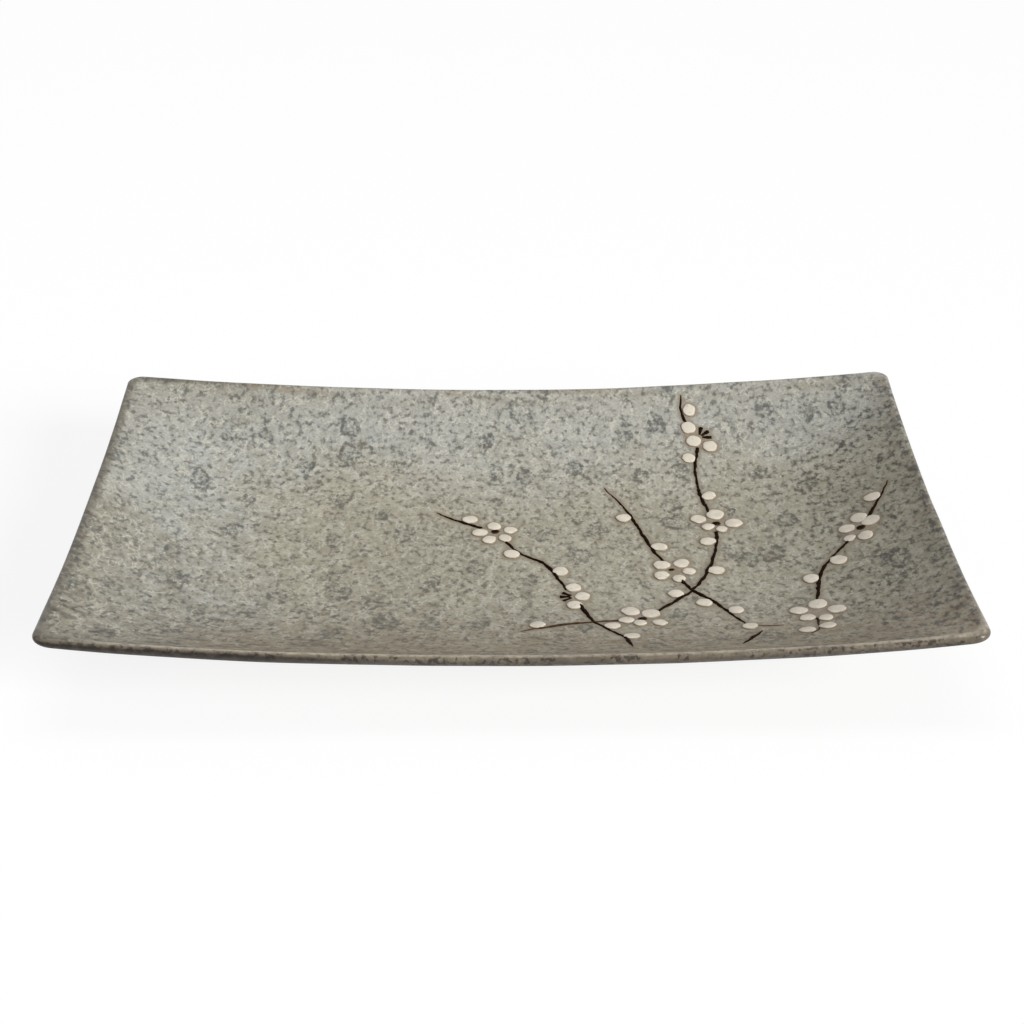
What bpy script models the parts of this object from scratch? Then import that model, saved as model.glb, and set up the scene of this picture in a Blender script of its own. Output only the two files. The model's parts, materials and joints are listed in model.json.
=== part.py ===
"""Deep rectangular serving plate in glazed stoneware.

A slab of clay is pressed into a shallow dish whose rim sags between four lifted corners. A rectangular
foot is luted under it, glaze covers all but the foot, and plum branches are laid on the face: dark
brush strokes for the wood and the stamens, domed dabs of white slip for the petals and the buds.
The origin is on the table under the middle of the plate, with X along its length and Z up.
"""

import math

import bmesh
import bpy
from mathutils import Matrix, Vector
from mathutils.bvhtree import BVHTree

# Plan of the plate over its glazed rim. All lengths are in metres.
LENGTH = 0.300
DEPTH = 0.190
CORNER_RADIUS = 0.005
CORNER_SOFTENING = 0.25  # how much the corner radius grows for each metre further in

# Rise of the rim above the middle of the floor.
SIDE_RISE = 0.018
END_RISE = 0.021
CORNER_RISE = 0.0255

# Power of the curve that turns the floor up into the wall: a higher one stays flat for longer.
SIDE_CURL = 3.0
END_CURL = 4.0

# Clay.
RIM_THICKNESS = 0.0028
FLOOR_THICKNESS = 0.006
WALL_WIDTH = 0.045  # distance in from the rim over which the clay thickens to that of the floor

# Foot, a rectangular ring under the floor.
FOOT_HEIGHT = 0.006
FOOT_INSET = 0.048
FOOT_WIDTH = 0.007
FOOT_TAPER = 0.0012
FOOT_CHAMFER = 0.0008
FOOT_CORNER_RADIUS = 0.017

# Glaze, and the gap that each layer keeps to the one it lies on.
GLAZE_THICKNESS = 0.0004
GLAZE_STOP = 0.002  # bare clay left on both sides of the foot
FIT_GAP = 0.0003
COAT = FIT_GAP + GLAZE_THICKNESS

# White slip: petals and buds are domed dabs, and a thin wash runs under the petals of one blossom.
PETAL_LENGTH = 0.0052
PETAL_WIDTH = 0.0046
PETAL_HEIGHT = 0.0011
PETAL_REACH = 0.0056  # from the middle of an open blossom to the middle of a petal
PETAL_EVENNESS = 0.55  # the part of a petal's size that stays when its reach is short
SIDE_PETAL_REACH = 0.0063
BACK_PETAL_REACH = 0.0029
WASH_THICKNESS = 0.0003
SIDE_WASH_WIDTH = 0.0026
BUD_LENGTH = 0.0050
BUD_WIDTH = 0.0042
BUD_HEIGHT = 0.0011

# Dark slip: the strokes of the branches, the hearts of the open blossoms and the stamens.
STROKE_WIDTH = 0.0013
STROKE_HEIGHT = 0.0004
STROKE_SHOULDER = 0.6  # width across the top of a stroke, as a share of its width at the foot
STROKE_TAPER = 0.55  # width at the free end of a branch, as a share of the stroke's width
KNOT_SWELL = 1.3
HEART_WIDTH = 0.0018
HEART_HEIGHT = 0.0005
STAMEN_START = 0.0014
STAMEN_END = 0.0046
STAMEN_FAN = math.radians(40)

# Facets.
LENGTH_STEPS = 7  # along half of a long side
DEPTH_STEPS = 4  # along half of an end
CORNER_STEPS = 4
FACE_STEPS = 8
UNDERSIDE_STEPS = 5
BASE_STEPS = 2
RIM_STEPS = 4
CORE_DEPTH = 0.011  # half depth of the innermost ring of facets
FACET_CROWDING = 1.5  # power that draws the rings of facets towards the rim
DAB_SIDES = 8
DAB_LEVELS = 4
WASH_SIDES = 16
STROKE_STEPS = 2
ROUNDEST = 0.8  # largest corner radius of a ring of facets, as a share of its half depth
SMOOTH_ANGLE = math.radians(40)
WELD_DISTANCE = 0.00001

# Places on the face, in thousandths of the half length and the half depth, with a turn where one is needed.
OPEN_BLOSSOMS = {
    "left": (-35, 135),
    "middle": (380, -160),
    "upper": (505, 165),
    "right": (835, -20),
    "low_right": (680, -560),
    "low_middle": (295, -540),
}
HEARTLESS = ("low_right",)
SIDE_BLOSSOMS = {
    "high": (495, 740, math.radians(217)),
    "low": (145, -350, math.radians(0)),
}

# Petals of each open blossom: the turn in degrees, and the reach in hundredths of the usual one.
PETALS = {
    "left": [(10, 100), (96, 70), (187, 100), (249, 110), (306, 105)],
    "middle": [(48, 100), (135, 85), (223, 95), (288, 115), (347, 110)],
    "upper": [(88, 115), (147, 130), (211, 65), (292, 80), (356, 115)],
    "right": [(36, 85), (88, 120), (163, 90), (227, 125), (276, 105)],
    "low_right": [(77, 100), (159, 105), (231, 100), (290, 115), (357, 120)],
    "low_middle": [(54, 95), (120, 130), (190, 100), (252, 65), (329, 115)],
}

# Where a stroke starts from another one.
FORKS = {
    "left_fork": (185, -560),
    "middle_fork": (420, -315),
}

# Each stroke's route over the face. A name stands for the blossom or the fork where the stroke stops short.
STROKES = {
    "left_branch_1": [(-180, 280), (-140, 230), "left"],
    "left_branch_2": ["left", (25, -30), (85, -115), "low"],
    "left_branch_3": ["low", "left_fork"],
    "left_branch_4": ["left_fork", (240, -690), (255, -760), (260, -835)],
    "middle_branch_1": [(240, 445), (295, 270), (340, 5), "middle"],
    "middle_branch_2": ["middle", "middle_fork"],
    "middle_branch_3": ["middle_fork", (470, -425), (520, -610)],
    "middle_branch_4": [(550, -690), (495, -840)],
    "long_branch_1": [(455, 945), (455, 860), "high"],
    "long_branch_2": ["high", (475, 555), (480, 370), "upper"],
    "long_branch_3": ["upper", (495, 0), (465, -170), (420, -315), (385, -375), "low_middle"],
    "long_branch_4": ["low_middle", (185, -560), (110, -585), (20, -640)],
    "right_branch_1": [(925, 245), (890, 130), "right"],
    "right_branch_2": ["right", (750, -185), (715, -290), "low_right"],
    "right_branch_3": ["low_right", (670, -720), (650, -760)],
}

# Buds on a stroke: the share of its length where one sits, and the side (1 is left of its direction, and 0
# is on its tip).
BUDS = {
    "left_branch_1": [(0.70, 1)],
    "left_branch_2": [(0.21, -1), (0.77, 1)],
    "left_branch_4": [(0.15, 1), (0.56, 1)],
    "middle_branch_1": [(0.40, -1), (0.84, 1)],
    "middle_branch_3": [(0.24, -1), (0.61, 1), (1.00, 0)],
    "long_branch_1": [(0.60, 1)],
    "long_branch_2": [(0.04, -1), (0.71, 1)],
    "long_branch_3": [(0.09, -1), (0.42, 1), (0.77, -1)],
    "long_branch_4": [(0.78, -1)],
    "right_branch_1": [(0.47, -1)],
    "right_branch_2": [(0.25, 1), (0.60, -1)],
    "right_branch_3": [(0.40, 1), (0.80, -1)],
}

HALF_LENGTH = LENGTH / 2
HALF_DEPTH = DEPTH / 2
FACE_LEVEL = FOOT_HEIGHT + FLOOR_THICKNESS  # middle of the clay's face, above the table
RIM_CENTRE = COAT + RIM_THICKNESS / 2  # inset of the centre of the rounded rim
CORE_INSET = HALF_DEPTH - CORE_DEPTH
STROKE_ROOM = KNOT_SWELL * STROKE_WIDTH / 2 + FIT_GAP  # from the middle of a stroke to what it passes
SIDE_BLOSSOM_REACH = SIDE_PETAL_REACH + PETAL_LENGTH / 2 + STROKE_ROOM
FORK_REACH = STROKE_WIDTH + STROKE_ROOM
BUD_OFFSET = BUD_LENGTH / 2 + STROKE_ROOM


def clear_scene():
    for old in list(bpy.data.objects):
        bpy.data.objects.remove(old, do_unlink=True)


def make_material(name, colour, roughness):
    material = bpy.data.materials.new(name)
    material.use_nodes = True
    shader = material.node_tree.nodes["Principled BSDF"]
    shader.inputs["Base Color"].default_value = (*colour, 1.0)
    shader.inputs["Roughness"].default_value = roughness
    shader.inputs["Metallic"].default_value = 0.0
    return material


class Plate:
    """The collection, the parent and the materials that every piece of the plate goes with."""

    def __init__(self):
        self.collection = bpy.data.collections.new("deep_plate")
        bpy.context.scene.collection.children.link(self.collection)
        self.guides = bpy.data.collections.new("guides")
        bpy.context.scene.collection.children.link(self.guides)
        self.root = bpy.data.objects.new("deep_plate", None)
        self.collection.objects.link(self.root)
        self.clay = make_material("fired_clay", (0.20, 0.125, 0.075), 0.85)
        self.glaze = make_material("granite_glaze", (0.33, 0.32, 0.26), 0.22)
        self.white_slip = make_material("white_slip", (0.72, 0.66, 0.54), 0.38)
        self.dark_slip = make_material("dark_slip", (0.025, 0.013, 0.008), 0.42)
        self.face = None
        self.stroke_section = None

    def add(self, name, shape, material, location=(0.0, 0.0, 0.0)):
        """Turn a bmesh into a named piece with closed, outward faces."""
        bmesh.ops.recalc_face_normals(shape, faces=shape.faces)
        mesh = bpy.data.meshes.new(name)
        shape.to_mesh(mesh)
        shape.free()
        mesh.shade_smooth()
        mesh.set_sharp_from_angle(angle=SMOOTH_ANGLE)
        mesh.materials.append(material)
        piece = bpy.data.objects.new(name, mesh)
        self.collection.objects.link(piece)
        piece.parent = self.root
        piece.location = location
        return piece

    def face_height(self, x, y):
        """Height of the glazed face at a point of the plan."""
        above = Vector((x, y, FACE_LEVEL + 2 * CORNER_RISE))
        return self.face.ray_cast(above, Vector((0.0, 0.0, -1.0)))[0].z


def rise(x, y):
    """Height of the dish above the middle of its floor."""
    along = abs(x) / HALF_LENGTH
    across = abs(y) / HALF_DEPTH
    curl = 1 - (1 - along**END_CURL) * (1 - across**SIDE_CURL)
    rim = SIDE_RISE + (END_RISE - SIDE_RISE) * along**2 + (CORNER_RISE - END_RISE) * (along * across) ** 2
    return rim * curl


def clay_thickness(inset):
    share = min(max(inset - RIM_CENTRE, 0.0) / WALL_WIDTH, 1.0)
    return RIM_THICKNESS + (FLOOR_THICKNESS - RIM_THICKNESS) * share


def crowded(share):
    """Spread steps from 0 to 1 so that they lie closer together towards 1."""
    return (share + math.sin(share * math.pi / 2)) / 2


def plan_outline(inset, radius):
    """Rounded rectangle inside the plate's plan, counter-clockwise from the middle of the right end."""
    half_length = HALF_LENGTH - inset
    half_depth = HALF_DEPTH - inset
    radius = min(radius, ROUNDEST * half_depth)
    quarter = []
    for step in range(DEPTH_STEPS):
        quarter.append((half_length, (half_depth - radius) * crowded(step / DEPTH_STEPS)))
    for step in range(CORNER_STEPS):
        angle = step / CORNER_STEPS * math.pi / 2
        x = half_length - radius + radius * math.cos(angle)
        y = half_depth - radius + radius * math.sin(angle)
        quarter.append((x, y))
    for step in range(LENGTH_STEPS, -1, -1):
        quarter.append(((half_length - radius) * crowded(step / LENGTH_STEPS), half_depth))
    upper = quarter + [(-x, y) for x, y in reversed(quarter[:-1])]
    return upper + [(x, -y) for x, y in reversed(upper[1:-1])]


def dish_ring(inset, level):
    """Ring of points at a level above the clay's face, following the dish."""
    outline = plan_outline(inset, CORNER_RADIUS + CORNER_SOFTENING * inset)
    return [Vector((x, y, FACE_LEVEL + rise(x, y) + level)) for x, y in outline]


def insets_between(first, last, steps):
    """Insets from near the rim to further in, closer together near the rim."""
    return [first + (last - first) * (step / steps) ** FACET_CROWDING for step in range(steps + 1)]


def face_rings(growth):
    """The clay's face from the middle out to the rim, raised by a growth."""
    insets = insets_between(RIM_CENTRE, CORE_INSET, FACE_STEPS)
    return [dish_ring(inset, growth) for inset in reversed(insets)]


def rim_rings(growth):
    """The rounded edge between the face and the underside."""
    rings = []
    radius = RIM_THICKNESS / 2 + growth
    for step in range(1, RIM_STEPS):
        angle = math.pi / 2 - step / RIM_STEPS * math.pi
        level = radius * math.sin(angle) - RIM_THICKNESS / 2
        rings.append(dish_ring(RIM_CENTRE - radius * math.cos(angle), level))
    return rings


def underside_rings(growth, last_inset):
    """The underside from the rim in to an inset, lowered by a growth."""
    insets = insets_between(RIM_CENTRE, last_inset, UNDERSIDE_STEPS)
    return [dish_ring(inset, -clay_thickness(inset) - growth) for inset in insets]


def close_end(shape, ring, count):
    """Fill the innermost ring with a band of faces that joins its front to its back."""
    for step in range(count // 2):
        upper = [ring[step], ring[step + 1]]
        lower = [ring[count - step - 1], ring[(count - step) % count]]
        shape.faces.new(list(dict.fromkeys(upper + lower)))


def loft(rings, ring_shaped=False):
    """Skin a row of rings. The ends are filled, or joined to each other in a ring-shaped piece."""
    shape = bmesh.new()
    rows = [[shape.verts.new(point) for point in ring] for ring in rings]
    count = len(rows[0])
    pairs = list(zip(rows, rows[1:]))
    if ring_shaped:
        pairs.append((rows[-1], rows[0]))
    else:
        close_end(shape, rows[0], count)
        close_end(shape, rows[-1], count)
    for near, far in pairs:
        for step in range(count):
            after = (step + 1) % count
            shape.faces.new((near[step], near[after], far[after], far[step]))
    return shape


def make_body(plate):
    rings = face_rings(0.0) + rim_rings(0.0) + underside_rings(0.0, CORE_INSET)
    plate.add("stoneware_body", loft(rings), plate.clay)


def make_foot(plate):
    """Ring whose flat bottom stands on the table and whose top follows the underside of the dish."""
    inner_inset = FOOT_INSET + FOOT_WIDTH
    bottom_section = (
        (FOOT_INSET, FOOT_CHAMFER),
        (FOOT_INSET + FOOT_CHAMFER, 0.0),
        (inner_inset - FOOT_CHAMFER, 0.0),
        (inner_inset, FOOT_CHAMFER),
    )

    def outline(inset):
        return plan_outline(inset, FOOT_CORNER_RADIUS + FOOT_INSET - inset)

    def seat(inset):
        drop = clay_thickness(inset) + FIT_GAP
        return [Vector((x, y, FACE_LEVEL + rise(x, y) - drop)) for x, y in outline(inset)]

    rings = [seat(FOOT_INSET - FOOT_TAPER)]
    for inset, height in bottom_section:
        rings.append([Vector((x, y, height)) for x, y in outline(inset)])
    rings.append(seat(inner_inset + FOOT_TAPER))
    plate.add("foot_ring", loft(rings, ring_shaped=True), plate.clay)


def make_glaze(plate):
    """Coat over the face, the rim and the underside as far as the foot. Ornament lies on its face."""
    last_inset = FOOT_INSET - FOOT_TAPER - GLAZE_STOP

    def skin(growth):
        return face_rings(growth) + rim_rings(growth) + underside_rings(growth, last_inset)

    coat = plate.add("glaze_coat", loft(skin(COAT) + skin(FIT_GAP)[::-1]), plate.glaze)
    points = [vertex.co for vertex in coat.data.vertices]
    plate.face = BVHTree.FromPolygons(points, [list(face.vertices) for face in coat.data.polygons])


def make_base_glaze(plate):
    """Panel of glaze on the underside, inside the foot."""
    first_inset = FOOT_INSET + FOOT_WIDTH + FOOT_TAPER + GLAZE_STOP
    insets = insets_between(first_inset, CORE_INSET, BASE_STEPS)
    upper = [dish_ring(inset, -clay_thickness(inset) - FIT_GAP) for inset in reversed(insets)]
    lower = [dish_ring(inset, -clay_thickness(inset) - COAT) for inset in insets]
    plate.add("base_glaze", loft(upper + lower), plate.glaze)


def plan_point(place):
    """Point of the plan for a place given in thousandths of the half length and the half depth."""
    return Vector((place[0] / 1000 * HALF_LENGTH, place[1] / 1000 * HALF_DEPTH))


def settle(plate, shape, centre, lift=0.0):
    """Flatten the lower half of a shape and lay it on the face around a centre, which is returned in 3D."""
    gap = FIT_GAP + lift
    location = Vector((centre.x, centre.y, plate.face_height(centre.x, centre.y) + gap))
    for vertex in shape.verts:
        ground = plate.face_height(centre.x + vertex.co.x, centre.y + vertex.co.y) + gap
        vertex.co.z = max(vertex.co.z, 0.0) + ground - location.z
    return location


def add_dab(shape, middle, turn, length, width, height):
    """Ellipsoid of slip in a shape, with its length along a turn."""
    place = Matrix.Translation((middle.x, middle.y, 0.0)) @ Matrix.Rotation(turn, 4, "Z")
    matrix = place @ Matrix.Diagonal((length / 2, width / 2, height, 1.0))
    bmesh.ops.create_uvsphere(shape, u_segments=DAB_SIDES, v_segments=DAB_LEVELS, radius=1.0, matrix=matrix)


def polar(radius, angle):
    return Vector((radius * math.cos(angle), radius * math.sin(angle)))


def make_blossom(plate, name, centre, petals, wash):
    """Petals, each given by its middle, turn and size, joined to the thin wash that runs under them."""
    dabs = bmesh.new()
    for middle, turn, size in petals:
        add_dab(dabs, middle, turn, size * PETAL_LENGTH, size * PETAL_WIDTH, PETAL_HEIGHT)
    guide = plate.add(name + "_petals", dabs, plate.white_slip)
    puddle = bmesh.new()
    bmesh.ops.create_cone(
        puddle,
        cap_ends=True,
        segments=WASH_SIDES,
        radius1=1.0,
        radius2=1.0,
        depth=2 * WASH_THICKNESS,
        matrix=wash,
    )
    joined = plate.add(name + "_wash", puddle, plate.white_slip)
    union = joined.modifiers.new("petals", "BOOLEAN")
    union.operation = "UNION"
    union.object = guide
    view = bpy.context.evaluated_depsgraph_get()
    mesh = bpy.data.meshes.new_from_object(joined.evaluated_get(view))
    blossom = bmesh.new()
    blossom.from_mesh(mesh)
    for leftover in (joined, guide):
        bpy.data.objects.remove(leftover)
    bpy.data.meshes.remove(mesh)
    plate.add(name, blossom, plate.white_slip, settle(plate, blossom, centre))


def open_petals(name):
    """Middle, turn and size of each petal of an open blossom. A petal with a short reach is smaller."""
    petals = []
    for degrees, hundredths in PETALS[name]:
        turn = math.radians(degrees)
        share = hundredths / 100
        size = min(PETAL_EVENNESS + (1 - PETAL_EVENNESS) * share, 1.0)
        petals.append((polar(share * PETAL_REACH, turn), turn, size))
    return petals


def make_open_blossom(plate, name, place):
    """Petals all round, with a dark heart in the middle."""
    wash = Matrix.Diagonal((PETAL_REACH, PETAL_REACH, 1.0, 1.0))
    centre = plan_point(place)
    make_blossom(plate, name + "_blossom", centre, open_petals(name), wash)
    if name not in HEARTLESS:
        heart = bmesh.new()
        add_dab(heart, Vector((0.0, 0.0)), 0.0, HEART_WIDTH, HEART_WIDTH, HEART_HEIGHT)
        location = settle(plate, heart, centre, WASH_THICKNESS + FIT_GAP)
        plate.add(name + "_heart", heart, plate.dark_slip, location)


def make_side_blossom(plate, name, place):
    """Blossom seen from the side: three petals in a cup, with stamens that fan out of its mouth."""
    stem = place[2]
    centre = plan_point(place)
    petals = [(polar(BACK_PETAL_REACH, stem), stem + math.pi / 2, 1.0)]
    for side in (-1, 1):
        turn = stem + side * math.pi / 2
        petals.append((polar(SIDE_PETAL_REACH, turn), turn, 1.0))
    middle = polar(BACK_PETAL_REACH / 2, stem)
    wash = (
        Matrix.Translation((middle.x, middle.y, 0.0))
        @ Matrix.Rotation(stem, 4, "Z")
        @ Matrix.Diagonal((SIDE_WASH_WIDTH / 2, SIDE_PETAL_REACH, 1.0, 1.0))
    )
    make_blossom(plate, name + "_blossom", centre, petals, wash)
    for number in (1, 2, 3):
        turn = stem + math.pi + (number - 2) * STAMEN_FAN
        route = [centre + polar(STAMEN_START, turn), centre + polar(STAMEN_END, turn)]
        make_stroke(plate, f"{name}_stamen_{number}", route, [STROKE_TAPER, 1.0])


def blossom_reach(name, direction):
    """How far from the middle of an open blossom a stroke stops, to clear the wash and the petals."""
    reach = PETAL_REACH + STROKE_ROOM
    room = PETAL_LENGTH / 2 + STROKE_ROOM
    for middle, _, _ in open_petals(name):
        aside = middle.cross(direction)
        if abs(aside) < room:
            reach = max(reach, middle.dot(direction) + math.sqrt(room**2 - aside**2))
    return reach


def stop_short(point, towards, name):
    """Where a stroke that runs to a named blossom or fork ends, on the line towards its next point."""
    direction = (towards - point).normalized()
    reach = FORK_REACH
    if name in OPEN_BLOSSOMS:
        reach = blossom_reach(name, direction)
    elif name in SIDE_BLOSSOMS:
        reach = SIDE_BLOSSOM_REACH
    return point + direction * reach


def stroke_route(stops):
    """Points of a stroke in plan, cut back where it meets a blossom or a fork."""
    named = {**OPEN_BLOSSOMS, **SIDE_BLOSSOMS, **FORKS}
    route = [plan_point(named.get(stop, stop)) for stop in stops]
    ends = ((0, 1), (-1, -2))
    cut = [stop_short(route[end], route[near], stops[end]) for end, near in ends]
    for (end, _), point in zip(ends, cut):
        if stops[end] in named:
            route[end] = point
    return route


def stroke_widths(stops):
    """Share of the full width at each point: thin at a free end, swollen at every other knot."""
    widths = [1.0 if step % 2 else KNOT_SWELL for step in range(len(stops))]
    for end in (0, -1):
        if not isinstance(stops[end], str):
            widths[end] = STROKE_TAPER
    return widths


def make_stroke_section(plate):
    """Closed outline across a brush stroke: flat below, shouldered above."""
    foot = STROKE_WIDTH / 2
    shoulder = STROKE_SHOULDER * foot
    outline = bpy.data.curves.new("stroke_section", "CURVE")
    outline.dimensions = "2D"
    spline = outline.splines.new("POLY")
    corners = ((-foot, 0.0), (foot, 0.0), (shoulder, STROKE_HEIGHT), (-shoulder, STROKE_HEIGHT))
    spline.points.add(len(corners) - 1)
    for knot, (across, up) in zip(spline.points, corners):
        knot.co = (across, up, 0.0, 1.0)
    spline.use_cyclic_u = True
    section = bpy.data.objects.new("stroke_section", outline)
    section.hide_render = True
    section.display_type = "WIRE"
    plate.guides.objects.link(section)
    return section


def make_stroke(plate, name, route, widths):
    """Low shouldered ridge of dark slip along a smooth line through a route."""
    centre = route[0]
    line = bpy.data.curves.new(name + "_line", "CURVE")
    line.dimensions = "3D"
    line.bevel_mode = "OBJECT"
    line.bevel_object = plate.stroke_section
    line.resolution_u = STROKE_STEPS
    line.use_fill_caps = True
    spline = line.splines.new("BEZIER")
    spline.bezier_points.add(len(route) - 1)
    for knot, point, width in zip(spline.bezier_points, route, widths):
        knot.co = (point.x - centre.x, point.y - centre.y, 0.0)
        knot.handle_left_type = "AUTO"
        knot.handle_right_type = "AUTO"
        knot.radius = width
    guide = bpy.data.objects.new(name + "_line", line)
    plate.collection.objects.link(guide)
    view = bpy.context.evaluated_depsgraph_get()
    mesh = bpy.data.meshes.new_from_object(guide.evaluated_get(view))
    ridge = bmesh.new()
    ridge.from_mesh(mesh)
    bpy.data.objects.remove(guide)
    bpy.data.curves.remove(line)
    bpy.data.meshes.remove(mesh)
    bmesh.ops.remove_doubles(ridge, verts=ridge.verts, dist=WELD_DISTANCE)
    plate.add(name, ridge, plate.dark_slip, settle(plate, ridge, centre))


def make_bud(plate, name, route, share, side):
    """Dab beside a stroke or on its tip, at a share of the stroke's length."""
    legs = [(start, end, (end - start).length) for start, end in zip(route, route[1:])]
    left = share * sum(length for _, _, length in legs)
    for start, end, length in legs:
        if left <= length:
            break
        left -= length
    along = (end - start).normalized()
    aim = Vector((-along.y, along.x)) * side if side else along
    centre = start + along * min(left, length) + aim * BUD_OFFSET
    turn = math.atan2(aim.y, aim.x)
    dab = bmesh.new()
    add_dab(dab, Vector((0.0, 0.0)), turn, BUD_LENGTH, BUD_WIDTH, BUD_HEIGHT)
    plate.add(name, dab, plate.white_slip, settle(plate, dab, centre))


def main():
    clear_scene()
    plate = Plate()
    make_body(plate)
    make_foot(plate)
    make_glaze(plate)
    make_base_glaze(plate)
    plate.stroke_section = make_stroke_section(plate)
    for name, place in OPEN_BLOSSOMS.items():
        make_open_blossom(plate, name, place)
    for name, place in SIDE_BLOSSOMS.items():
        make_side_blossom(plate, name, place)
    for name, stops in STROKES.items():
        route = stroke_route(stops)
        make_stroke(plate, name, route, stroke_widths(stops))
        for number, (share, side) in enumerate(BUDS.get(name, ()), start=1):
            make_bud(plate, f"{name}_bud_{number}", route, share, side)


main()
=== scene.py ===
"""Looks of a deep rectangular serving plate in speckled stoneware.

A grey glaze with dark specks covers a hand-pressed dish. It breaks brown on the rim, where its darkness is
partly painted shade, and leaves the clay bare round the foot. Plum branches lie on the face: dark slip for
the wood, white slip for the petals.
"""

import json
import math
from collections import namedtuple

import bpy
from bpy.props import FloatProperty, FloatVectorProperty, IntProperty, PointerProperty
from mathutils import Matrix, Vector
from mathutils.bvhtree import BVHTree
from mathutils.geometry import intersect_point_line

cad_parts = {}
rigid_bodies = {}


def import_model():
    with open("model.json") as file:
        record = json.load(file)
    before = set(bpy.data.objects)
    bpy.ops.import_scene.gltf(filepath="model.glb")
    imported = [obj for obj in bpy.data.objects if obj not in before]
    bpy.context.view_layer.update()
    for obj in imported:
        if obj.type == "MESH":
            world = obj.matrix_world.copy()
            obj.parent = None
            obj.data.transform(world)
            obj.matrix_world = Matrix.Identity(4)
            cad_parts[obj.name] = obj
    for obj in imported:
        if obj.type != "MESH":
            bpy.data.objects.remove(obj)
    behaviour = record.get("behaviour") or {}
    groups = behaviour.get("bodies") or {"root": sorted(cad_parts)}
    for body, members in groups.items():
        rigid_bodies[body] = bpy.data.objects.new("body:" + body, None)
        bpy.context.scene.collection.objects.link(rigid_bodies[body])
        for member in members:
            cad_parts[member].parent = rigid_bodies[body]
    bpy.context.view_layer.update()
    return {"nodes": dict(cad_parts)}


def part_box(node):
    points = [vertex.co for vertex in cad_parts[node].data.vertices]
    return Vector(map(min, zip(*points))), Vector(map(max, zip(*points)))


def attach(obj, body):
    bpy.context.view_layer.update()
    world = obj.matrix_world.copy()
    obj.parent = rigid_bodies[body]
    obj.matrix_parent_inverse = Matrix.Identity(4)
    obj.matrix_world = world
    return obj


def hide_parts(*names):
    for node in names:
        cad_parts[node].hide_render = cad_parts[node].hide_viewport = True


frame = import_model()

bl_info = {
    "name": "Deep Plate Looks",
    "version": (1, 0, 0),
    "blender": (4, 5, 0),
    "location": "3D View > Sidebar > Plate",
    "description": "Glaze, clay and plum branches of a deep rectangular plate",
    "category": "Object",
}

# The solids' box, and the sizes that come from it. All lengths are in metres.
COAT_LOW, COAT_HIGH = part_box("glaze_coat")
COAT_SIZE = COAT_HIGH - COAT_LOW
BODY = "root"

# How the dish is made up.
FIT_GAP = 0.0003  # what each layer of the solids keeps to the next
CORNER_SOFTENING = 0.25  # growth of the corner radius for each metre further in
ROUNDEST = 0.8  # largest corner radius of a ring, as a share of its half depth
EMBED = 0.0001  # how far a layer sinks into the one below, so that no gap shows
MERGE_DISTANCE = 0.00001
HIGH = 0.2  # above everything, where rays down to the dish start

# How the slip is laid.
DAB_SEGMENTS, DAB_RINGS = 28, 16
STROKE_STEP = 0.0004  # between two points along a stroke
STROKE_SIDES = 10
LEAST_WIDTH, UNEVEN_WIDTH = 0.20, 1.6  # a stroke's width varies from the first by the second
UNEVEN_SIZE = 0.0026  # length of one swell of its width

# The paper as the camera sees it.
FLOOR_GLOW = 0.845  # part of its white that shows even in a shadow
FLOOR_SHADED = 0.20  # share of its own colour that takes the light and the shadow

# Share of a quarter of the plan's points that lie before the corner, and up to its end.
CORNER_START = 0.28
CORNER_END = 0.42

# Places on the face, in thousandths of the half length and the half depth.
OPEN_BLOSSOMS = {
    "left": (-35, 135),
    "middle": (380, -160),
    "upper": (505, 165),
    "right": (835, -20),
    "low_right": (680, -560),
    "low_middle": (295, -540),
}
SIDE_BLOSSOMS = {
    "high": (495, 740),
    "low": (145, -350),
}
SIDE_TURNS = {"high": math.radians(217), "low": 0.0}
FORKS = {
    "left_fork": (185, -560),
    "middle_fork": (420, -315),
}

# Petals of each open blossom: turn in degrees, reach and size in hundredths of the usual ones.
PETALS = {
    "left": [(10, 100, 86), (96, 70, 96), (187, 100, 100), (249, 110, 93), (306, 105, 88)],
    "middle": [(48, 100, 106), (135, 85, 107), (223, 95, 98), (288, 115, 86), (347, 110, 85)],
    "upper": [(88, 115, 118), (147, 130, 102), (211, 65, 82), (292, 80, 74), (356, 115, 110)],
    "right": [(36, 85, 114), (88, 120, 110), (163, 90, 98), (227, 125, 72), (276, 105, 96)],
    "low_right": [(77, 100, 120), (159, 105, 108), (231, 100, 95), (290, 115, 88), (357, 120, 110)],
    "low_middle": [(54, 95, 118), (120, 130, 116), (190, 100, 92), (252, 65, 84), (329, 115, 90)],
}

# Each stroke's route over the face. A name stands for the blossom or the fork that it runs up to.
STROKES = {
    "left_branch_1": [(-180, 280), (-140, 230), "left"],
    "left_branch_2": ["left", (25, -30), (85, -115), "low"],
    "left_branch_3": ["low", "left_fork"],
    "left_branch_4": ["left_fork", (240, -690), (255, -760), (260, -835)],
    "middle_branch_1": [(240, 445), (295, 270), (340, 5), "middle"],
    "middle_branch_2": ["middle", "middle_fork"],
    "middle_branch_3": ["middle_fork", (470, -425), (520, -610)],
    "middle_branch_4": [(550, -690), (495, -840)],
    "long_branch_1": [(455, 945), (455, 860), "high"],
    "long_branch_2": ["high", (475, 555), (480, 370), "upper"],
    "long_branch_3": ["upper", (495, 0), (465, -170), (420, -315), (385, -375), "low_middle"],
    "long_branch_4": ["low_middle", (185, -560), (110, -585), (20, -640)],
    "right_branch_1": [(925, 245), (890, 130), "right"],
    "right_branch_2": ["right", (750, -185), (715, -290), "low_right"],
    "right_branch_3": ["low_right", (670, -720), (650, -760)],
}

# Strokes drawn broader or finer than the others, with their share of the usual width.
STROKE_WEIGHTS = {"long_branch_4": 0.95, "middle_branch_3": 1.35, "right_branch_3": 0.65}

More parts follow.
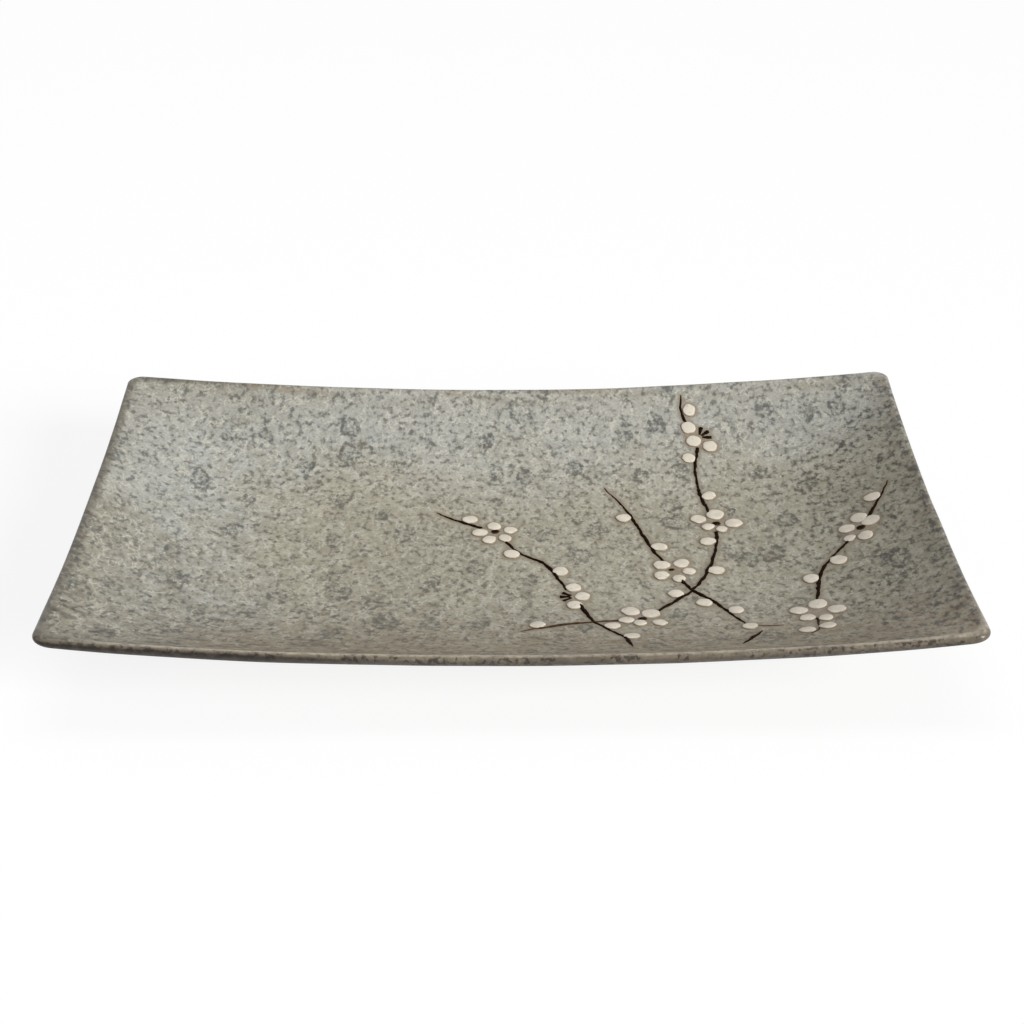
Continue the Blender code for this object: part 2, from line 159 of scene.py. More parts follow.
# Strokes drawn with a drier brush, with their share of the usual ink.
STROKE_INK = {"long_branch_4": 0.45, "right_branch_3": 0.7}

# A faint run of brown slip beside the middle twig: its points, with their share of the usual width.
DRY_RUN = [((541, -632), 0.5), ((570, -645), 0.6), ((600, -650), 0.3)]

# Hearts dotted smaller than the others, with their share of the usual size.
HEART_SIZES = {"middle_heart": 0.6}

# Sizes of the dish that a ring round the plan takes, each as an input of its tree.
RING_SIZES = (
    "length",
    "depth",
    "side_rise",
    "end_rise",
    "corner_rise",
    "corner_lift",
    "back_lift",
    "side_curl",
    "end_curl",
    "unevenness",
    "unevenness_size",
)

# Places of the colour sockets on a Mix node.
MIX_FIRST, MIX_SECOND, MIX_RESULT = 6, 7, 2

Row = namedtuple("Row", "inset level follow corner rim")
Dab = namedtuple("Dab", "middle turn length width height thin")


def size_property(name, description, default):
    return FloatProperty(name=name, description=description, default=default, unit="LENGTH", precision=5)


def share_property(name, description, default):
    return FloatProperty(name=name, description=description, default=default)


def colour_property(name, description, default):
    return FloatVectorProperty(name=name, description=description, default=default, subtype="COLOR", size=3)


class DishSizes(bpy.types.PropertyGroup):
    """Sizes of the dish, which every layer of clay and glaze follows."""

    length: size_property("Length", "Over the glazed rim", COAT_SIZE.x)
    depth: size_property("Depth", "Over the glazed rim", COAT_SIZE.y)
    corner_radius: size_property("Corner radius", "Of the plan at the rim", 0.005)
    side_rise: size_property("Side rise", "Rim above the floor in the middle of a long side", 0.018)
    end_rise: size_property("End rise", "Rim above the floor in the middle of an end", 0.021)
    corner_rise: size_property("Corner rise", "Rim above the floor at a corner", 0.0255)
    side_curl: share_property("Side curl", "Power of the curve up to a long side", 3.0)
    end_curl: share_property("End curl", "Power of the curve up to an end", 4.0)
    rim_thickness: size_property("Rim thickness", "Clay at the rim", 0.0028)
    floor_thickness: size_property("Floor thickness", "Clay in the floor", 0.006)
    wall_width: size_property("Wall width", "In from the rim until the clay has its full thickness", 0.045)
    glaze_thickness: size_property("Glaze", "Thickness of the coat", 0.0004)
    foot_height: size_property("Foot height", "Table to the underside of the floor", 0.006)
    foot_inset: size_property("Foot inset", "Rim to the foot", 0.048)
    foot_width: size_property("Foot width", "Across the ring of the foot", 0.007)
    foot_taper: size_property("Foot taper", "Spread of the foot towards the floor", 0.0012)
    foot_chamfer: size_property("Foot chamfer", "Rounding of the edge that stands on the table", 0.0008)
    foot_corner: size_property("Foot corner", "Corner radius of the foot", 0.017)
    glaze_stop: size_property("Glaze stop", "Bare clay on both sides of the foot", 0.002)
    corner_lift: size_property("Corner lift", "How far the back right corner stands above the others", 0.0012)
    back_lift: size_property("Back lift", "How far the middle of the back rim stands above the front", 0.0010)
    unevenness: size_property("Unevenness", "How far the hand-pressed form strays", 0.0003)
    unevenness_size: size_property("Unevenness size", "Length of one swell of the form", 0.045)
    around: IntProperty(name="Around", description="Points round the plan, in fours", default=560, min=40)


class SlipSizes(bpy.types.PropertyGroup):
    """Sizes of the slip that is laid on the face."""

    petal_length: size_property("Petal length", "Out from the blossom's middle", 0.0061)
    petal_width: size_property("Petal width", "Across the petal", 0.0056)
    petal_height: size_property("Petal height", "Above the glaze", 0.0006)
    petal_reach: size_property("Petal reach", "Middle of an open blossom to that of a petal", 0.0056)
    side_reach: size_property("Side reach", "Middle of a side blossom to that of an outer petal", 0.0063)
    back_reach: size_property("Back reach", "Middle of a side blossom to that of its back petal", 0.0029)
    wash_height: size_property("Wash height", "Thin slip between the petals", 0.00015)
    bud_length: size_property("Bud length", "Longer way across a bud", 0.0060)
    bud_width: size_property("Bud width", "Shorter way across a bud", 0.0055)
    bud_height: size_property("Bud height", "Above the glaze", 0.0006)
    bud_shift: size_property("Bud shift", "From the solid's place towards the branch", 0.0007)
    dab_edge: share_property("Dab edge", "Power of a dab's section: a lower one is flatter on top", 0.55)
    heart_length: size_property("Heart length", "Longer way across the dark dot of a blossom", 0.0033)
    heart_width: size_property("Heart width", "Shorter way across the dark dot of a blossom", 0.0030)
    heart_height: size_property("Heart height", "Above the glaze", 0.0005)
    stroke_width: size_property("Stroke width", "Of the branches", 0.00097)
    stroke_height: size_property("Stroke height", "Above the glaze", 0.00032)
    stamen_start: size_property("Stamen start", "From the middle of a side blossom", 0.0012)
    stamen_end: size_property("Stamen end", "From the middle of a side blossom", 0.0047)
    ripple: size_property("Ripple", "How far a dab's outline strays", 0.00055)
    ripple_size: size_property("Ripple size", "Length of one stray of the outline", 0.0026)
    kink: size_property("Kink", "How far a stroke strays from its route", 0.0006)
    kink_size: size_property("Kink size", "Length of one stray of a stroke", 0.0045)


class PlateColours(bpy.types.PropertyGroup):
    """Colours of the fired clay, the glaze and the slips."""

    # The cool glaze shows towards the back and at the left end, the warm glaze in front and to the right.
    glaze_cool: colour_property("Cool glaze", "Glaze where it lies thick", (0.440, 0.447, 0.422))
    glaze_warm: colour_property("Warm glaze", "Glaze where it has run thin", (0.452, 0.408, 0.288))
    # Darker glaze in random clouds and on the wall, and also the colour of painted shade at the ends and on
    # the left.
    glaze_deep: colour_property("Deep glaze", "Glaze in the hollows of the clay", (0.250, 0.223, 0.153))
    # Also the colour of the painted sheen at the back of the face.
    lace: colour_property("Lace", "Pale threads in the glaze", (0.60, 0.575, 0.485))
    speck: colour_property("Speck", "Dark specks in the glaze", (0.078, 0.084, 0.077))
    brown_speck: colour_property("Brown speck", "Rusty specks in the glaze", (0.110, 0.088, 0.060))
    rust: colour_property("Rust", "Brown runs in the glaze", (0.238, 0.178, 0.108))
    # Brown where the glaze breaks on the rim; its darkness is partly painted shade under the rim.
    rim: colour_property("Rim", "Glaze broken over the edge", (0.128, 0.106, 0.076))
    # Colour of the painted highlight along the crest of the front rim.
    rim_pale: colour_property("Pale rim", "Glaze worn light along the front edge", (0.520, 0.450, 0.350))
    # Dark bare clay below the edge and dark blots, partly painted shade under the rim.
    rim_dark: colour_property("Dark rim", "Clay that shows through below the edge", (0.050, 0.039, 0.028))
    stain: colour_property("Stain", "Glaze tinted by the slip beside it", (0.225, 0.170, 0.108))
    petal: colour_property("Petal", "White slip", (0.785, 0.715, 0.595))
    outline: colour_property("Outline", "Thin edge of the white slip", (0.17, 0.120, 0.072))
    wash: colour_property("Wash", "Thin white slip over the glaze", (0.285, 0.238, 0.166))
    bark: colour_property("Bark", "Dark slip", (0.0095, 0.0045, 0.0015))
    dry_bark: colour_property("Dry bark", "Dark slip where the brush runs dry", (0.066, 0.040, 0.023))
    clay: colour_property("Clay", "Fired clay", (0.215, 0.135, 0.082))
    grog: colour_property("Grog", "Grains in the clay", (0.33, 0.245, 0.165))
    floor: colour_property("Floor", "Paper that the plate stands on", (0.90, 0.90, 0.895))


class StageSettings(bpy.types.PropertyGroup):
    """Camera and light."""

    elevation: FloatProperty(
        name="Elevation", description="Camera above the table", default=math.radians(30.7), subtype="ANGLE"
    )
    azimuth: FloatProperty(
        name="Azimuth", description="Camera round the plate", default=math.radians(-0.44), subtype="ANGLE"
    )
    distance: size_property("Distance", "Camera to the middle of the face", 0.6846)
    lens: FloatProperty(name="Lens", description="Focal length in millimetres", default=66.85)
    shift_x: share_property("Shift X", "Framing across, in frame widths", 0.0020)
    shift_y: share_property("Shift Y", "Framing up, in frame widths", 0.0370)
    key_strength: share_property("Key", "Strength of the key light", 3.45)
    top_power: FloatProperty(name="Top", description="Power of the light overhead", default=3.0, unit="POWER")
    fill_strength: share_property("Fill", "Strength of the light all round", 0.24)


def arithmetic(operation, swapped=False):
    """Method that adds a Math node for a field and another value."""

    def apply(self, other):
        return calculate(operation, other, self) if swapped else calculate(operation, self, other)

    return apply


class Field:
    """Output of a node. Sums of fields and numbers add Math nodes to the same tree."""

    def __init__(self, tree, socket):
        self.tree = tree
        self.socket = socket

    __add__ = __radd__ = arithmetic("ADD")
    __sub__ = arithmetic("SUBTRACT")
    __rsub__ = arithmetic("SUBTRACT", swapped=True)
    __mul__ = arithmetic("MULTIPLY")
    __truediv__ = arithmetic("DIVIDE")
    __rtruediv__ = arithmetic("DIVIDE", swapped=True)
    __pow__ = arithmetic("POWER")
    at_most = arithmetic("MINIMUM")
    at_least = arithmetic("MAXIMUM")

    def share(self):
        """The field held between 0 and 1."""
        return self.at_least(0.0).at_most(1.0)

    def ramp(self, start, end):
        """Smooth step from 0 at the start to 1 at the end, which may lie below it."""
        inputs = {"Value": self, "From Min": start, "From Max": end}
        return field(self.tree, "ShaderNodeMapRange", inputs, interpolation_type="SMOOTHSTEP")


def tree_of(*values):
    """Tree of the first field among some values."""
    return next(value.tree for value in values if isinstance(value, Field))


def feed(socket, value):
    """Link a field to a socket, or set the socket to a plain value."""
    if isinstance(value, Field):
        value.tree.links.new(value.socket, socket)
    else:
        socket.default_value = value


def add_node(tree, kind, inputs, **settings):
    """New node with its settings and inputs, which are named or numbered."""
    node = tree.nodes.new(kind)
    for name, value in settings.items():
        setattr(node, name, value)
    for name, value in inputs.items():
        feed(node.inputs[name], value)
    return node


def field(tree, kind, inputs, output=0, **settings):
    """Output of a new node."""
    return Field(tree, add_node(tree, kind, inputs, **settings).outputs[output])


def calculate(operation, *values):
    """Field from a Math node."""
    return field(tree_of(*values), "ShaderNodeMath", dict(enumerate(values)), operation=operation)


def opaque(colour):
    """Colour with full cover, where it is given in three numbers."""
    return colour if isinstance(colour, Field) else (*colour, 1.0)


def darker(colour, share):
    """Colour brought down to a share of its brightness."""
    return tuple(share * part for part in colour)


def blend(share, first, second):
    """Mix of two colours, each a field or three numbers."""
    inputs = {0: share, MIX_FIRST: opaque(first), MIX_SECOND: opaque(second)}
    return field(share.tree, "ShaderNodeMix", inputs, MIX_RESULT, data_type="RGBA")


def vector(x, y, z):
    """Vector of three fields or numbers."""
    return field(tree_of(x, y, z), "ShaderNodeCombineXYZ", {0: x, 1: y, 2: z})


def axes(value):
    """X, Y and Z of a vector."""
    node = add_node(value.tree, "ShaderNodeSeparateXYZ", {0: value})
    return [Field(value.tree, socket) for socket in node.outputs]


def noise(where, size, detail=2.0, roughness=0.5, output="Fac"):
    """Noise whose swells have about a given size."""
    inputs = {"Vector": where, "Scale": 1.0 / size, "Detail": detail, "Roughness": roughness}
    return field(where.tree, "ShaderNodeTexNoise", inputs, output)


def new_tree(kind, name, inputs, outputs):
    """Node group with named sockets. Returns it, its inputs as fields, and its output node."""
    tree = bpy.data.node_groups.new(name, kind)
    for label, socket_type in outputs.items():
        tree.interface.new_socket(label, in_out="OUTPUT", socket_type=socket_type)
    for label, (socket_type, default) in inputs.items():
        socket = tree.interface.new_socket(label, in_out="INPUT", socket_type=socket_type)
        if default is not None:
            socket.default_value = default
    start = tree.nodes.new("NodeGroupInput")
    fields = {label: Field(tree, start.outputs[label]) for label in inputs}
    return tree, fields, tree.nodes.new("NodeGroupOutput")


def geometry_tree(name, inputs):
    """Geometry tree that takes and gives one geometry, with further named inputs."""
    sockets = {"Geometry": ("NodeSocketGeometry", None), **inputs}
    tree, fields, end = new_tree("GeometryNodeTree", name, sockets, {"Geometry": "NodeSocketGeometry"})
    tree.is_modifier = True
    return tree, fields, end


def attribute(tree, name):
    """Number that a sketch or a mesh holds at its points, inside a geometry tree."""
    return field(tree, "GeometryNodeInputNamedAttribute", {"Name": name}, data_type="FLOAT")


def store(tree, geometry, name, value):
    """Geometry that holds a number at its points."""
    inputs = {"Geometry": geometry, "Name": name, "Value": value}
    return field(tree, "GeometryNodeStoreNamedAttribute", inputs, data_type="FLOAT", domain="POINT")


def finish_geometry(tree, geometry, material, end):
    """Close a tree: plain, smooth mesh with its material."""
    real = field(tree, "GeometryNodeRealizeInstances", {"Geometry": geometry})
    smooth = field(tree, "GeometryNodeSetShadeSmooth", {"Geometry": real})
    done = field(tree, "GeometryNodeSetMaterial", {"Geometry": smooth, "Material": material})
    feed(end.inputs[0], done)


def shape_by(tree, piece, values, keep=()):
    """Run a tree on a piece and keep the result as its plain mesh, with the attributes to keep."""
    modifier = piece.modifiers.new(tree.name, "NODES")
    modifier.node_group = tree
    for socket in tree.interface.items_tree:
        if socket.in_out == "INPUT" and socket.name in values:
            modifier[socket.identifier] = values[socket.name]
    view = bpy.context.evaluated_depsgraph_get()
    shaped = piece.evaluated_get(view)
    mesh = bpy.data.meshes.new_from_object(shaped, preserve_all_data_layers=True, depsgraph=view)
    piece.modifiers.remove(modifier)
    sketch = piece.data
    piece.data = mesh
    bpy.data.meshes.remove(sketch)
    mesh.name = piece.name
    spare = (*Row._fields, *Dab._fields, "step", "lift", "ink")
    for name in spare:
        if name in mesh.attributes and name not in keep:
            mesh.attributes.remove(mesh.attributes[name])


def place_object(name, data):
    """New object in the scene."""
    thing = bpy.data.objects.new(name, data)
    bpy.context.scene.collection.objects.link(thing)
    return thing


def new_piece(name, points, edges, values):
    """Object whose mesh is a sketch of points and edges, with one number of each kind at every point."""
    mesh = bpy.data.meshes.new(name)
    mesh.from_pydata(points, edges, [])
    for key, numbers in values.items():
        layer = mesh.attributes.new(key, "FLOAT", "POINT")
        layer.data.foreach_set("value", numbers)
    return place_object(name, mesh)


def settle(piece, slot, *nodes):
    """Give a finished piece its body and hide the nodes that it stands for. The slot is not used."""
    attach(piece, BODY)
    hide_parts(*nodes)


def nodes_named(part):
    """Names of the solids whose name holds some words."""
    return sorted(name for name in frame["nodes"] if part in name)


# Dish


def socket_name(size):
    """Name of the input for a size of the dish."""
    return size.replace("_", " ").title()


def ring_tree():
    """Sweep a section round the rounded plan of the plate, each point at its own inset from the rim."""
    sizes = bpy.context.scene.plate_dish
    inputs = {socket_name(size): ("NodeSocketFloat", getattr(sizes, size)) for size in RING_SIZES}
    inputs["Around"] = ("NodeSocketInt", sizes.around)
    inputs["Material"] = ("NodeSocketMaterial", None)
    tree, given, end = geometry_tree("Ring round the plan", inputs)
    circle = field(tree, "GeometryNodeCurvePrimitiveCircle", {"Resolution": given["Around"]})
    rail = store(tree, circle, "step", field(tree, "GeometryNodeInputIndex", {}))
    section = field(tree, "GeometryNodeMeshToCurve", {"Mesh": given["Geometry"]})
    sheet = field(tree, "GeometryNodeCurveToMesh", {"Curve": rail, "Profile Curve": section})

    turn = attribute(tree, "step") / given["Around"] * math.tau
    quarter = calculate("PINGPONG", turn / (math.pi / 2), 1.0)
    end_share = (quarter / CORNER_START).share()
    side_share = ((1.0 - quarter) / (1.0 - CORNER_END)).share()
    bend = ((quarter - CORNER_START) / (CORNER_END - CORNER_START)).share() * (math.pi / 2)
    right = calculate("SIGN", calculate("COSINE", turn))
    back = calculate("SIGN", calculate("SINE", turn))

    inset = attribute(tree, "inset")
    corner = attribute(tree, "corner")
    half_length = given["Length"] / 2.0
    half_depth = given["Depth"] / 2.0
    along = side_share * (half_length - inset - corner) + corner * calculate("COSINE", bend)
    across = end_share * (half_depth - inset - corner) + corner * calculate("SINE", bend)

    far_along = along / half_length
    far_across = across / half_depth
    curl = 1.0 - (1.0 - far_along ** given["End Curl"]) * (1.0 - far_across ** given["Side Curl"])
    rim = given["Side Rise"] + (given["End Rise"] - given["Side Rise"]) * far_along**2.0
    rim = rim + (given["Corner Rise"] - given["End Rise"]) * (far_along * far_across) ** 2.0
    behind = (back + 1.0) / 2.0
    corner_lift = (right + 1.0) / 2.0 * behind * given["Corner Lift"]
    back_lift = behind * given["Back Lift"] * (1.0 - far_along**4.0)
    rim = rim + (corner_lift * far_along**2.0 + back_lift) * far_across**2.0
    x = along * right
    y = across * back
    swell = noise(vector(x, y, 0.0), given["Unevenness Size"], detail=1.0, output="Color")
    stray_x, stray_y, stray_z = [(axis - 0.5) * 2.0 * given["Unevenness"] for axis in axes(swell)]
    follow = attribute(tree, "follow")
    z = attribute(tree, "level") + follow * (rim * curl + stray_z)
    place = vector(x + stray_x * follow, y + stray_y * follow, z)
    shaped = field(tree, "GeometryNodeSetPosition", {"Geometry": sheet, "Position": place})
    merged = field(tree, "GeometryNodeMergeByDistance", {"Geometry": shaped, "Distance": MERGE_DISTANCE})
    finish_geometry(tree, merged, given["Material"], end)
    return tree


class Section:
    """Rows of points across the dish, from the middle of the face out, round the rim and back below.

    A row's rim is 0 on the crest of the rim and 1 at its lowest. It goes on below 0 along the face and
    over 1 along the underside, by 1 for each step of RIM_STEP.
    """

    RIM_STEP = 0.010
    FAR = 9.0  # for rows where the wear of the rim has ended
    CROWDING = 1.35  # power by which the rows draw together towards the rim
    BEAD_STEPS = 6
    BEAD_ROOT, BEAD_SWELL = 0.5, 0.75  # thickness beside the bead, and what its middle adds

    def __init__(self, sizes):
        self.sizes = sizes
        self.half_depth = sizes.depth / 2
        self.face_level = sizes.foot_height + sizes.floor_thickness
        self.coat = FIT_GAP + sizes.glaze_thickness
        self.rim_centre = self.coat + sizes.rim_thickness / 2

    def row(self, inset, level, rim=FAR):
        """Row at an inset from the rim, at a level above the face."""
        radius = self.sizes.corner_radius + CORNER_SOFTENING * inset
        corner = min(radius, ROUNDEST * (self.half_depth - inset))
        return Row(inset, self.face_level + level, 1.0, corner, rim)

    def clay(self, inset):
        """Thickness of the clay at an inset."""
        share = min(max(inset - self.rim_centre, 0.0) / self.sizes.wall_width, 1.0)
        return self.sizes.rim_thickness + (self.sizes.floor_thickness - self.sizes.rim_thickness) * share

    def insets(self, first, last, steps):
        """Insets from near the rim to further in, closer together near the rim."""
        return [first + (last - first) * (step / steps) ** self.CROWDING for step in range(steps + 1)]

    def face(self, growth, steps):
        """Rows from the middle of the face to the rim."""
        rows = []
        for inset in reversed(self.insets(self.rim_centre, self.half_depth, steps)):
            rows.append(self.row(inset, growth, (self.rim_centre - inset) / self.RIM_STEP))
        return rows

    def rim(self, growth, steps):
        """Rows round the rolled edge."""
        rows = []
        radius = self.sizes.rim_thickness / 2 + growth
        for step in range(1, steps):
            share = step / steps
            angle = math.pi / 2 - share * math.pi
            level = radius * math.sin(angle) - self.sizes.rim_thickness / 2
            rows.append(self.row(self.rim_centre - radius * math.cos(angle), level, share))
        return rows

    def underside(self, growth, last, steps):
        """Rows from the rim in to the last inset, below the clay."""
        rows = []
        for inset in self.insets(self.rim_centre, last, steps):
            rim = 1.0 + (inset - self.rim_centre) / self.RIM_STEP
            rows.append(self.row(inset, -self.clay(inset) - growth, rim))
        return rows

    def bead(self, growth, last, width):
        """Rolled edge where the glaze stops on the underside."""
        rows = []
        for step in range(1, self.BEAD_STEPS):
            angle = step / self.BEAD_STEPS * math.pi
            inset = last + width * (1.0 - math.cos(angle)) / 2
            swell = growth * (self.BEAD_ROOT + self.BEAD_SWELL * math.sin(angle))
            thinning = 1.0 - step / (self.BEAD_STEPS + 1)
            rows.append(self.row(inset, -self.clay(inset) - swell * thinning))
        return rows


def sweep_section(name, rows, closed, material, sizes, keep=()):
    """Piece made by sweeping rows round the plan."""
    points = [(row.inset, row.level, 0.0) for row in rows]
    edges = [(step, step + 1) for step in range(len(rows) - 1)]
    if closed:
        edges.append((len(rows) - 1, 0))
    values = {key: [getattr(row, key) for row in rows] for key in Row._fields}
    piece = new_piece(name, points, edges, values)
    inputs = {socket_name(size): getattr(sizes, size) for size in (*RING_SIZES, "around")}
    inputs["Material"] = material
    shape_by(bpy.data.node_groups["Ring round the plan"], piece, inputs, keep)
    return piece


class PLATE_OT_body(bpy.types.Operator):
    """Make the pressed clay body, bare only beside the foot"""

    bl_idname = "plate.body"
    bl_label = "Clay Body"

    FACE_STEPS = 24
    RIM_STEPS = 6
    UNDERSIDE_STEPS = 30

    def execute(self, context):
        sizes = context.scene.plate_dish
        section = Section(sizes)
        rows = section.face(0.0, self.FACE_STEPS) + section.rim(0.0, self.RIM_STEPS)
        rows += section.underside(0.0, section.half_depth, self.UNDERSIDE_STEPS)
        body = sweep_section("clay_body", rows, False, clay_material(), sizes)
        settle(body, "fired_clay", "stoneware_body")
        return {"FINISHED"}


class PLATE_OT_foot(bpy.types.Operator):
    """Make the foot ring that is luted under the floor"""

    bl_idname = "plate.foot"
    bl_label = "Foot Ring"

    ROUND_STEPS = 5
    SEAT_STEPS = 4

    def execute(self, context):
        sizes = context.scene.plate_dish
        section = Section(sizes)
        outer, inner = sizes.foot_inset, sizes.foot_inset + sizes.foot_width

        def row(inset, level, follow):
            return Row(inset, level, follow, sizes.foot_corner + sizes.foot_inset - inset, section.FAR)

        def seat(inset):
            return row(inset, section.face_level - section.clay(inset) + EMBED, 1.0)

        rows = [seat(outer - sizes.foot_taper)]
        for edge, inward in ((outer, 1.0), (inner, -1.0)):
            arc = []
            for step in range(self.ROUND_STEPS + 1):
                angle = step / self.ROUND_STEPS * math.pi / 2
                inset = edge + inward * sizes.foot_chamfer * (1.0 - math.cos(angle))
                arc.append(row(inset, sizes.foot_chamfer * (1.0 - math.sin(angle)), 0.0))
            rows += arc if inward > 0 else arc[::-1]
        last = inner + sizes.foot_taper
        for step in range(self.SEAT_STEPS):
            rows.append(seat(last + (rows[0].inset - last) * step / self.SEAT_STEPS))
        foot = sweep_section("foot", rows, True, clay_material(), sizes)
        settle(foot, "fired_clay", "foot_ring")
        return {"FINISHED"}


class PLATE_OT_glaze(bpy.types.Operator):
    """Make the glaze over the face, the rim and the underside as far as the foot"""

    bl_idname = "plate.glaze"
    bl_label = "Glaze Coat"

    OUTER_STEPS = (76, 14, 22)  # on the face, round the rim and on the underside
    INNER_STEPS = (12, 6, 8)
    BEAD_WIDTH = 3  # in thicknesses of the glaze

    def execute(self, context):
        sizes = context.scene.plate_dish
        section = Section(sizes)
        last = sizes.foot_inset - sizes.foot_taper - sizes.glaze_stop
        bead = self.BEAD_WIDTH * sizes.glaze_thickness
        face, rim, underside = self.OUTER_STEPS
        outside = (
            section.face(section.coat, face)
            + section.rim(section.coat, rim)
            + section.underside(section.coat, last - bead, underside)
            + section.bead(section.coat, last - bead, bead)
        )
        face, rim, underside = self.INNER_STEPS
        inside = section.face(-EMBED, face) + section.rim(-EMBED, rim)
        inside += section.underside(-EMBED, last, underside)
        rows = outside + inside[::-1]
        coat = sweep_section("glaze", rows, False, glaze_material(), sizes, keep=("rim",))
        settle(coat, "granite_glaze", "glaze_coat")
        return {"FINISHED"}


class PLATE_OT_base_glaze(bpy.types.Operator):
    """Make the panel of glaze inside the foot"""

    bl_idname = "plate.base_glaze"
    bl_label = "Base Glaze"

    STEPS = 12
    EDGE_THICKNESS = 0.7  # of the coat, at the rounded edge of the panel

    def execute(self, context):
        sizes = context.scene.plate_dish
        section = Section(sizes)
        first = sizes.foot_inset + sizes.foot_width + sizes.foot_taper + sizes.glaze_stop
        insets = section.insets(first, section.half_depth, self.STEPS)
        upper = [section.row(inset, -section.clay(inset) + EMBED) for inset in reversed(insets)]
        edge = first + sizes.glaze_thickness
        lower = [section.row(inset, -section.clay(inset) - section.coat) for inset in insets if inset > edge]
        lower.insert(0, section.row(edge, -section.clay(edge) - self.EDGE_THICKNESS * section.coat))
        panel = sweep_section("base_panel", upper + lower, False, glaze_material(), sizes, keep=("rim",))
        settle(panel, "granite_glaze", "base_glaze")
        return {"FINISHED"}


# Slip


def drape(tree, geometry, dish, lift):
    """Lay a geometry on the dish below it, each point at its lift above the face."""
    x, y, _ = axes(field(tree, "GeometryNodeInputPosition", {}))
    target = field(tree, "GeometryNodeObjectInfo", {"Object": dish}, "Geometry", transform_space="RELATIVE")
    rays = {
        "Target Geometry": target,
        "Source Position": vector(x, y, HIGH),
        "Ray Direction": (0.0, 0.0, -1.0),
        "Ray Length": 2 * HIGH,
    }
    ground = axes(field(tree, "GeometryNodeRaycast", rays, "Hit Position"))[2]
    place = vector(x, y, ground + lift)
    return field(tree, "GeometryNodeSetPosition", {"Geometry": geometry, "Position": place})


def ripple_offset(tree, ripple, size):
    """Small stray across the face, the same at every height."""
    x, y, _ = axes(field(tree, "GeometryNodeInputPosition", {}))
    swell = axes(noise(vector(x, y, 0.0), size, detail=1.0, output="Color"))
    return vector((swell[0] - 0.5) * 2.0 * ripple, (swell[1] - 0.5) * 2.0 * ripple, 0.0)


# Inputs that the trees of the dabs and the strokes share.
SLIP_INPUTS = {
    "Dish": ("NodeSocketObject", None),
    "Ripple": ("NodeSocketFloat", 0.0),
    "Ripple Size": ("NodeSocketFloat", 0.003),
    "Material": ("NodeSocketMaterial", None),
}


def dab_tree():
    """Put a domed dab on every point, with the point's turn, length, width and height."""
    tree, given, end = geometry_tree("Dabs", {**SLIP_INPUTS, "Edge": ("NodeSocketFloat", 1.0)})
    dome = field(tree, "GeometryNodeMeshUVSphere", {"Segments": DAB_SEGMENTS, "Rings": DAB_RINGS})
    turn = field(tree, "FunctionNodeEulerToRotation", {0: vector(0.0, 0.0, attribute(tree, "turn"))})
    height = attribute(tree, "height")
    half = vector(attribute(tree, "length") / 2.0, attribute(tree, "width") / 2.0, height)
    inputs = {"Points": given["Geometry"], "Instance": dome, "Rotation": turn, "Scale": half}
    dabs = field(tree, "GeometryNodeInstanceOnPoints", inputs)
    real = field(tree, "GeometryNodeRealizeInstances", {"Geometry": dabs})
    _, _, z = axes(field(tree, "GeometryNodeInputPosition", {}))
    lifted = store(tree, real, "lift", (z / height).at_least(0.0))
    offset = ripple_offset(tree, given["Ripple"], given["Ripple Size"])
    strayed = field(tree, "GeometryNodeSetPosition", {"Geometry": lifted, "Offset": offset})
    flattened = attribute(tree, "lift") ** given["Edge"] * height
    laid = drape(tree, strayed, given["Dish"], flattened + z.at_most(0.0).at_least(-EMBED))
    finish_geometry(tree, laid, given["Material"], end)
    return tree


def stroke_tree():
    """Draw a low ridge of slip along every line of a sketch, with the line's own width at each point."""
    inputs = {
        **SLIP_INPUTS,
        "Stroke Width": ("NodeSocketFloat", 0.001),
        "Stroke Height": ("NodeSocketFloat", 0.0003),
    }
    tree, given, end = geometry_tree("Strokes", inputs)
    lines = field(tree, "GeometryNodeMeshToCurve", {"Mesh": given["Geometry"]})
    curved = field(tree, "GeometryNodeCurveSplineType", {"Curve": lines}, spline_type="CATMULL_ROM")
    fine = field(tree, "GeometryNodeResampleCurve", {"Curve": curved, "Length": STROKE_STEP}, mode="LENGTH")
    offset = ripple_offset(tree, given["Ripple"], given["Ripple Size"])
    wavy = field(tree, "GeometryNodeSetPosition", {"Geometry": fine, "Offset": offset})
    where = field(tree, "GeometryNodeInputPosition", {})
    uneven = LEAST_WIDTH + noise(where, UNEVEN_SIZE) * UNEVEN_WIDTH
    width = attribute(tree, "width") * given["Stroke Width"] / 2.0 * uneven
    circle = {"Resolution": STROKE_SIDES, "Radius": 1.0}
    section = field(tree, "GeometryNodeCurvePrimitiveCircle", circle)
    parts = {"Curve": wavy, "Profile Curve": section, "Scale": width, "Fill Caps": True}
    tube = field(tree, "GeometryNodeCurveToMesh", parts)
    _, _, z = axes(where)
    flat = z * (given["Stroke Height"] / given["Stroke Width"] * 2.0)
    lifted = store(tree, tube, "lift", attribute(tree, "width") * attribute(tree, "ink"))
    laid = drape(tree, lifted, given["Dish"], flat.at_least(-EMBED))
    finish_geometry(tree, laid, given["Material"], end)
    return tree


def middle_of(node):
    """Middle of a solid's box, in the plan."""
    low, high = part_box(node)
    return ((low + high) / 2).to_2d()


def plan_point(place):
    """Point of the plan for a place given in thousandths."""
    sizes = bpy.context.scene.plate_dish
    return Vector((place[0] / 1000 * sizes.length / 2, place[1] / 1000 * sizes.depth / 2))


def polar(radius, angle):
    """Step of a given length and direction across the plan."""
    return Vector((radius * math.cos(angle), radius * math.sin(angle)))


